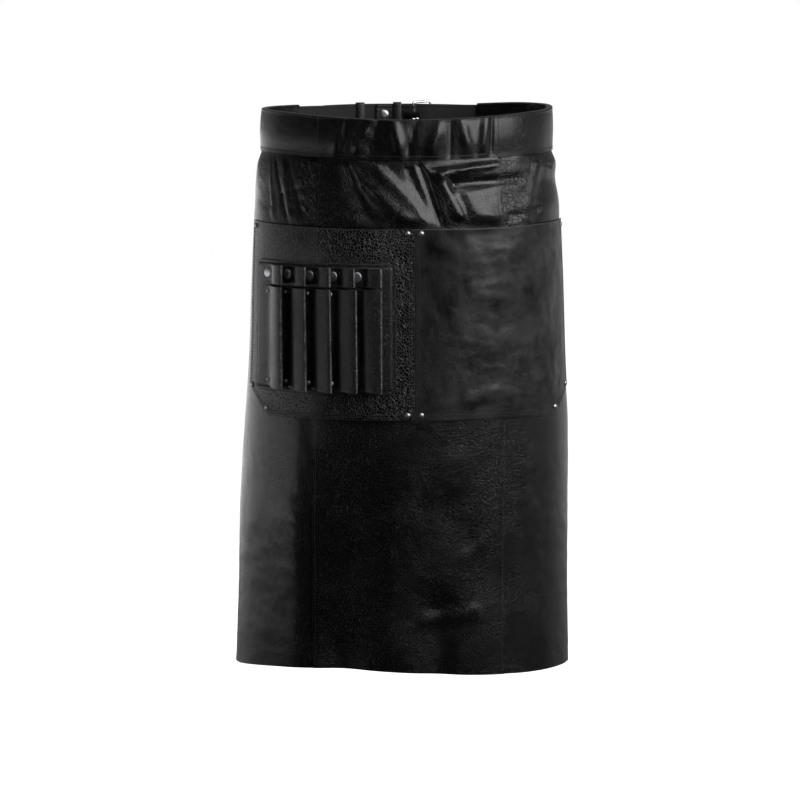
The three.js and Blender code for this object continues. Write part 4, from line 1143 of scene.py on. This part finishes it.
def belt_path():
    folded_x = np.linspace(FOLDED_END_X, FOLDED_START_X, BELT_STEPS["folded"])
    folded, _ = waist_point(back_turn(folded_x), FOLDED_LIFT)
    angle = np.linspace(0, math.pi, BELT_STEPS["bend"])[:, None]
    bend = bar_point + FOLD_RADIUS * (np.sin(angle) * bar_along - np.cos(angle) * bar_out)
    turn = np.linspace(back_turn(FOLDED_START_X) - 2 * math.pi, back_turn(FREE_END_X), BELT_STEPS["round"])
    rise = smooth(turn, back_turn(RISE_START_X), back_turn(RISE_END_X))
    round_waist, _ = waist_point(turn, TUNNEL_MIDDLE + (FREE_END_LIFT - TUNNEL_MIDDLE) * rise)
    return np.concatenate([folded, bend, round_waist])


def belt_shift(point, height):
    behind = BACK_RISE * smooth(point[..., 1] / WAIST["rear"], RISE_FROM, 1)
    before = -read(SECTIONS, "dip", height) * np.clip((point[..., 1] / WAIST["front"]) ** 2, 0, 1)
    return np.where(point[..., 1] > 0, behind, before) + side_rise(point, height)


def back_place(x, lift, height):
    point, out = waist_point(back_turn(x), lift)
    z = height + belt_shift(point, height)
    return np.array([*point, z]), np.array([*out, 0.0])


# Belt section: distance from the edge and share of the half thickness, with a pressed line inside each edge
BELT_EDGE = ((0, 0.45), (0.5, 0.8), (1.3, 1), (4.0, 1), (4.7, 0.82), (5.4, 1), (9, 1))
CUTTER_SIDES = 20
CUTTER_REACH = 4


def make_belt():
    path = belt_path()
    top = [(BELT_TOP - inset, fat) for inset, fat in BELT_EDGE]
    bottom = [(BELT_TOP - BELT_WIDTH + inset, fat) for inset, fat in BELT_EDGE[::-1]]
    outer = []
    inner = []
    for height, fat in top + bottom:
        left, right = strip_sides(path, BELT_LEATHER * fat)
        z = height + belt_shift(path, height)
        outer.append(np.concatenate([right, z[:, None]], axis=1))
        inner.append(np.concatenate([left, z[:, None]], axis=1))
    finishes = [strap_leather, flesh_side, cut_edge]
    piece = closed_sheet("leather_belt", np.array(outer), np.array(inner), finishes)
    cut_belt(piece)
    stand_for(piece, "strap_leather", "belt")


def cut_belt(belt):
    """Punches the belt's holes and the slot for the prong."""
    radius = BELT_HOLE_RADIUS
    profile = ((0, CUTTER_REACH), (radius, CUTTER_REACH), (radius, -CUTTER_REACH), (0, -CUTTER_REACH))
    places = [back_place(x, FREE_END_LIFT, BELT_MIDDLE) for x in BELT_HOLES_X]
    holes = turned("belt_hole_cutter", profile, CUTTER_SIDES, places, cut_edge)
    reach = heel_along * (FOLD_RADIUS + SLOT_REACH)
    deep = FOLD_RADIUS + BELT_LEATHER / 2 + GAP / 2
    high = PRONG_RADIUS + SLOT_CLEAR
    section = [(-deep, -high), (deep, -high), (deep, high), (-deep, high)]
    ends = np.array([heel_middle - reach, heel_middle + reach])
    slot = swept("belt_slot_cutter", ends, UP, section, "capped", cut_edge)
    for cutter in (holes, slot):
        cut = belt.modifiers.new(cutter.name, "BOOLEAN")
        cut.object = cutter
        cut.operation = "DIFFERENCE"
        cut.solver = "EXACT"
    bpy.context.view_layer.update()
    done = bpy.data.meshes.new_from_object(belt.evaluated_get(bpy.context.evaluated_depsgraph_get()))
    belt.modifiers.clear()
    belt.data = done
    for cutter in (holes, slot):
        bpy.data.objects.remove(cutter)


def make_belt_rivets():
    places = []
    for height in (BELT_TOP - BELT_RIVET_INSET, BELT_TOP - BELT_WIDTH + BELT_RIVET_INSET):
        point, out = back_place(BELT_RIVET_X, FOLDED_LIFT - BELT_LEATHER / 2, height)
        places.append((point, -out))
        places.append(back_place(BELT_RIVET_X, TUNNEL_MIDDLE + BELT_LEATHER / 2, height))
    profile = lifted(BELT_RIVET_PROFILE, BELT_RIVET_SEAT)
    piece = turned("belt_rivets", profile, RIVET_SIDES["belt"], places, nickel)
    stand_for(piece, "rivet_metal", "belt_rivet_upper", "belt_rivet_lower")


CORNER_POINTS = 9
WIRE_SIDES = 14
PRONG_SIDES = 12
EYE_TURN = 1.5 * math.pi
EYE_POINTS = 25
ROD_POINTS = 14
KEEPER_CORNER = 1.8
KEEPER_BEVEL = {"thick": 0.4, "wide": 0.5}


def at_heel_bar(points):
    """Points of the buckle's own frame, X along the belt, Y outwards and Z up, as points of the apron."""
    return heel_middle + points @ np.array([heel_along, heel_out, UP])


def round_frame(near, far, near_half, far_half, radius):
    """A trapezoid's outline with round corners, in the plane of (reach, height)."""
    corners = np.array([(near, -near_half), (far, -far_half), (far, far_half), (near, near_half)], float)
    outline = []
    for k, corner in enumerate(corners):
        before = unit(corners[k - 1] - corner)
        after = unit(corners[(k + 1) % 4] - corner)
        for t in np.linspace(0, 1, CORNER_POINTS):
            outline.append(corner + before * radius * (1 - t) ** 2 + after * radius * t ** 2)
    return np.array(outline)


def make_buckle():
    half = BELT_WIDTH / 2 + FRAME_CLEAR + FRAME_WIRE / 2
    outline = round_frame(0, FRAME_REACH, half, half + FRAME_FLARE, FRAME_CORNER)
    halfway = (outline + np.roll(outline, -1, axis=0)) / 2
    outline = np.stack([outline, halfway], axis=1).reshape(-1, 2)
    tilt = np.array([math.cos(FRAME_TILT), math.sin(FRAME_TILT), 0])
    path = at_heel_bar(outline[:, :1] * tilt + outline[:, 1:] * UP)
    normal = tilt[0] * heel_out - tilt[1] * heel_along
    wire = swept("chrome_buckle_frame", path, normal, circle(FRAME_WIRE / 2, WIRE_SIDES), "joined", chrome)
    stand_for(wire, "buckle_chrome", "buckle_frame")

    over_frame = FRAME_WIRE / 2 + PRONG_CLEAR + PRONG_RADIUS
    start = np.array([0, RING_RADIUS, 0])
    end = FRAME_REACH * tilt + np.array([PRONG_OVERHANG, over_frame, 0])
    turn = np.linspace(EYE_TURN, 0, EYE_POINTS)
    eye = RING_RADIUS * np.stack([-np.sin(turn), np.cos(turn), 0 * turn], axis=1)
    rod = start + (end - start) * np.linspace(0, 1, ROD_POINTS)[1:, None]
    line = at_heel_bar(np.concatenate([eye, rod]))
    prong = swept("chrome_buckle_prong", line, UP, circle(PRONG_RADIUS, PRONG_SIDES), "capped", chrome)
    stand_for(prong, "buckle_chrome", "buckle_prong")


def make_keepers():
    thick = KEEPER_LEATHER / 2
    wide = KEEPER_WIDTH / 2
    flat_thick = thick - KEEPER_BEVEL["thick"]
    flat_wide = wide - KEEPER_BEVEL["wide"]
    one_half = [(thick, -flat_wide), (thick, flat_wide), (flat_thick, wide), (-flat_thick, wide)]
    section = one_half + [(-across, -along) for across, along in one_half]
    outer_face = FREE_END_LIFT + BELT_LEATHER / 2 + GAP
    half_high = BELT_WIDTH / 2 + GAP + thick
    for node, (x, layers) in KEEPERS.items():
        inner_face = (FOLDED_LIFT if layers == 2 else TUNNEL_MIDDLE) - BELT_LEATHER / 2 - GAP
        half_deep = (outer_face - inner_face) / 2 + thick
        point, out = back_place(x, (outer_face + inner_face) / 2, BELT_MIDDLE)
        outline = round_frame(-half_deep, half_deep, half_high, half_high, KEEPER_CORNER)
        path = point + outline[:, :1] * out + outline[:, 1:] * UP
        piece = swept(f"leather_{node}", path, np.cross(out, UP), section, "joined", strap_leather)
        stand_for(piece, "strap_leather", node)


# Stitching: insets of its rows, where the rows run, and how finely they follow the leather
SEAM_INSET = 3
SEAM_RUNS = ((BAND_BOTTOM - 2, -121), (-382, HEM + 2))
SEAM_POINTS = 160
BAND_INSET = 4.6
BAND_RUNS = ((-344, -121), (-120.5, 125.5), (126, 403))
BAND_POINTS = 240
BAND_WALL = 2 / 3
POCKET_INSETS = (3.4, 6.8)
MOUTH_INSET = 3
ROW_STEP = 2


def seam_rows():
    rows = []
    for seam, side in (("left_seam", 1), ("right_seam", -1)):
        for top, bottom in SEAM_RUNS:
            height = np.linspace(top, bottom, SEAM_POINTS)
            across = read(EDGES, seam, height) + side * SEAM_INSET
            rows.append(surface_row(across, height, body_folds(across, height)))
    return rows


def band_rows():
    rows = []
    for first, last in BAND_RUNS:
        across = np.linspace(first, last, BAND_POINTS)
        outer, _ = band_grid(across)
        wall = outer[int(len(outer) * BAND_WALL):][::-1].transpose(1, 0, 2)
        line = [point_along(column, column[:, 2], column[0, 2] + BAND_INSET) for column in wall]
        rows.append((np.array(line), outwards(across, BAND_BOTTOM + BAND_INSET)))
    return rows


def pocket_row(pocket, inset):
    """A line inside a pocket's sewn edges: down its inner edge, along the bottom, and up its outer edge."""
    slope = math.hypot(CORNER_ACROSS, CORNER_DOWN)
    shift = inset * (slope - CORNER_DOWN) / CORNER_ACROSS
    corner_low = (CORNER_START - inset * (slope - CORNER_ACROSS) / CORNER_DOWN, POCKET_BOTTOM + inset)
    corner_high = (POCKET_WIDTH - inset, POCKET_BOTTOM + CORNER_DOWN + shift)
    corners = [(inset, POCKET_TOP - MOUTH_INSET), (inset, POCKET_BOTTOM + inset), corner_low, corner_high,
               (POCKET_WIDTH - inset, POCKET_TOP)]
    line = []
    for a, b in zip(corners[:-1], corners[1:]):
        steps = max(int(math.dist(a, b) / ROW_STEP), 2)
        line.append(np.linspace(a, b, steps)[:-1])
    out, height = np.concatenate(line).T
    across = POCKET_MEETING + pocket["side"] * out
    return surface_row(across, height, pocket_face(pocket, out, height))


def patch_row():
    inset = SEWN_GROOVE["inset"]
    middle = (PATCH["top"] + PATCH["bottom"]) / 2
    half = (PATCH["top"] - PATCH["bottom"]) / 2 - inset
    radius = PATCH["corner"] - inset
    outline = round_frame(PATCH["left"] + inset, PATCH["right"] - inset, half, half, radius)
    line = []
    for a, b in zip(outline, np.roll(outline, -1, axis=0)):
        steps = max(int(math.dist(a, b) / ROW_STEP), 1)
        line.append(np.linspace(a, b, steps, endpoint=False))
    across, height = np.concatenate(line).T + [[0], [middle]]
    standoff = smooth(inset, PATCH["sewn"], PATCH["corner"])
    return surface_row(across, height, patch_face(across, height, standoff) - SEWN_GROOVE["depth"])


# Putting the apron together
seam_left = EDGES["left_seam"][0]
seam_right = EDGES["right_seam"][0]
rear_left = EDGES["left_rear"][0]
rear_right = EDGES["right_rear"][0]
front_panel = make_front_panel()
left_panel = make_side_panel("left", -1)
right_panel = make_side_panel("right", 1)
front_band = make_band("band_front", seam_left + SEAM_GAP, seam_right - SEAM_GAP, BAND_FRONT_COLUMNS)
left_band = make_band("band_left", rear_left, seam_left - SEAM_GAP, BAND_SIDE_COLUMNS)
right_band = make_band("band_right", seam_right + SEAM_GAP, rear_right, BAND_SIDE_COLUMNS)
left_pocket = make_pocket("pocket_left", LEFT, pebbled_leather, cut_edge, "pebbled_leather")
right_pocket = make_pocket("pocket_right", RIGHT, pocket_leather, pale_edge_and_highlight, "leather")
patch = make_patch()
loops = make_loop_strip("tool_strip", STRIP_LOOPS, LOOP_RISE, STRIP, STRIP_ROWS, LOOP_DROOP)
sleeves = make_loop_strip("tool_sleeves", SLEEVE_LOOPS, SLEEVE_RISE, SLEEVES, SLEEVE_ROWS, SLEEVE_DROOP)
make_rivets()
make_belt()
make_belt_rivets()
make_buckle()
make_keepers()
seam_stitches = stitches("stitches_seams", seam_rows())
band_stitches = stitches("stitches_band", band_rows())
left_stitches = stitches("stitches_left_pocket", [pocket_row(LEFT, inset) for inset in POCKET_INSETS])
right_stitches = stitches("stitches_right_pocket", [pocket_row(RIGHT, inset) for inset in POCKET_INSETS])
patch_stitches = stitches("stitches_patch", [patch_row()])

# Leather as it was cut, each sheet with its flat width and length, how it is held and what it is held by
PANEL_LENGTH = PANEL_TOP - HEM
BAND_LENGTH = 2 * BAND_HEIGHT + 6
POCKET_LENGTH = POCKET_TOP - POCKET_BOTTOM
PATCH_WIDTH = PATCH["right"] - PATCH["left"]
PATCH_LENGTH = PATCH["top"] - PATCH["bottom"]
STRIP_LENGTH = STRIP["top"] - STRIP["bottom"]
SLEEVE_LENGTH = SLEEVES["top"] - SLEEVES["bottom"]
SHEETS = (
    (front_panel, 263, PANEL_LENGTH, "hung", "leather_band_front", [seam_stitches]),
    (left_panel, 250, PANEL_LENGTH, "hung", "leather_band_left", []),
    (right_panel, 290, PANEL_LENGTH, "hung", "leather_band_right", []),
    (front_band, 290, BAND_LENGTH, "gathered", "leather_belt", [band_stitches]),
    (left_band, 224, BAND_LENGTH, "folded", "leather_belt", []),
    (right_band, 278, BAND_LENGTH, "folded", "leather_belt", []),
    (left_pocket, POCKET_WIDTH, POCKET_LENGTH, "laid", "leather_panel_front", [left_stitches]),
    (right_pocket, POCKET_WIDTH, POCKET_LENGTH, "laid", "leather_panel_front", [right_stitches]),
    (patch, PATCH_WIDTH, PATCH_LENGTH, "laid", "leather_pocket_left", [patch_stitches]),
    (loops, 355, STRIP_LENGTH, "folded", "leather_tool_patch", []),
    (sleeves, 335, SLEEVE_LENGTH, "folded", "leather_tool_patch", []),
)
for piece, width, length, held, holder, rows in SHEETS:
    width * MM
    length * MM

# Camera
SHOT = {"target": (-8.7, 0, -368), "distance": 9000, "rise": math.radians(5.7), "mm_per_pixel": 1.354}
PICTURE_PIXELS = 800
SENSOR = 36
VIEW_END = 100


def aim(thing, towards):
    """Turns a camera or a light to face this way."""
    thing.rotation_mode = "QUATERNION"
    thing.rotation_quaternion = towards.to_track_quat("-Z", "Y")


def make_camera():
    data = bpy.data.cameras.new("camera")
    data.sensor_width = SENSOR
    data.lens = SENSOR * SHOT["distance"] / (PICTURE_PIXELS * SHOT["mm_per_pixel"])
    data.clip_end = VIEW_END
    camera = put("camera", data)
    back = Vector((0, -math.cos(SHOT["rise"]), math.sin(SHOT["rise"])))
    camera.location = (Vector(SHOT["target"]) + back * SHOT["distance"]) * MM
    aim(camera, -back)
    bpy.context.scene.camera = camera


# Studio, in metres: each soft light's place, width, height and radiance, where 1 is the backdrop's white
SOFTBOXES = {
    "left_box": ((-2.69, -0.05, -0.57), 4.0, 0.56, 1.3),
    "left_rear_box": ((-1.5, 2.2, -0.5), 2.2, 0.7, 1.2),
    "right_box": ((2.62, 0.6, -0.45), 2.9, 0.8, 0.28),
    "right_rear_box": ((1.5, 2.2, -0.45), 2.2, 0.8, 0.4),
    "key_box": ((1.8, -1.6, 0.94), 2.4, 2.1, 4.6),
    "top_box": ((0.2, -1.4, 2.2), 1.8, 0.8, 2.5),
}
LIGHT_TARGET = Vector((0, 0, -0.34))
FLOOR_HALF = 9.0
FLOOR_DROP = 300
FLOOR_CLOUDS = 900
FLOOR_TONES = ((0.93, 0.93, 0.93, 1), (0.97, 0.97, 0.97, 1))
WHITE = (1, 1, 1, 1)
WORLD = {"backdrop": 1.0, "room": 0.02, "behind": 0.2, "behind_from": -0.05, "behind_to": 0.55}


def make_softboxes():
    for name, (place, width, height, radiance) in SOFTBOXES.items():
        data = bpy.data.lights.new(name, "AREA")
        data.shape = "RECTANGLE"
        data.size = width
        data.size_y = height
        data.energy = radiance * math.pi * width * height
        light = put(name, data)
        light.location = place
        aim(light, LIGHT_TARGET - light.location)
        light.visible_camera = False


def make_floor():
    level = (HEM - FLOOR_DROP) * MM
    corners = [(x * FLOOR_HALF, y * FLOOR_HALF, level) for x, y in ((-1, -1), (1, -1), (1, 1), (-1, 1))]
    mesh = bpy.data.meshes.new("floor")
    mesh.from_pydata(corners, [], [(0, 1, 2, 3)])
    make = start_material("floor_paper")
    tone = make.blend(make.noise(FLOOR_CLOUDS, detail=2.0), *FLOOR_TONES)
    paper = make.surface(Base_Color=tone, Roughness=0.9, Emission_Color=WHITE, Emission_Strength=1.0)
    mesh.materials.append(paper)
    floor = put("floor", mesh)
    floor.visible_glossy = False
    floor.visible_diffuse = False


def make_world():
    """A dim room, brighter behind the apron, that the camera sees as a white backdrop."""
    make = Finish(bpy.data.worlds.new("studio"))
    towards = make.node("ShaderNodeTexCoord", output="Generated")
    deep = make.node("ShaderNodeSeparateXYZ", None, {0: towards}, "Y")
    share = make.between(deep, WORLD["behind_from"], WORLD["behind_to"])
    level = WORLD["room"] + share * (WORLD["behind"] - WORLD["room"])
    seen = make.node("ShaderNodeLightPath", output="Is Camera Ray")
    strength = level + seen * (WORLD["backdrop"] - level)
    light = make.node("ShaderNodeBackground", None, {"Color": WHITE, "Strength": strength})
    make.node("ShaderNodeOutputWorld", None, {"Surface": light})
    bpy.context.scene.world = make.owner


make_camera()
make_softboxes()
make_floor()
make_world()
bpy.context.scene.view_settings.view_transform = "Standard"
bpy.context.scene.view_settings.look = "None"
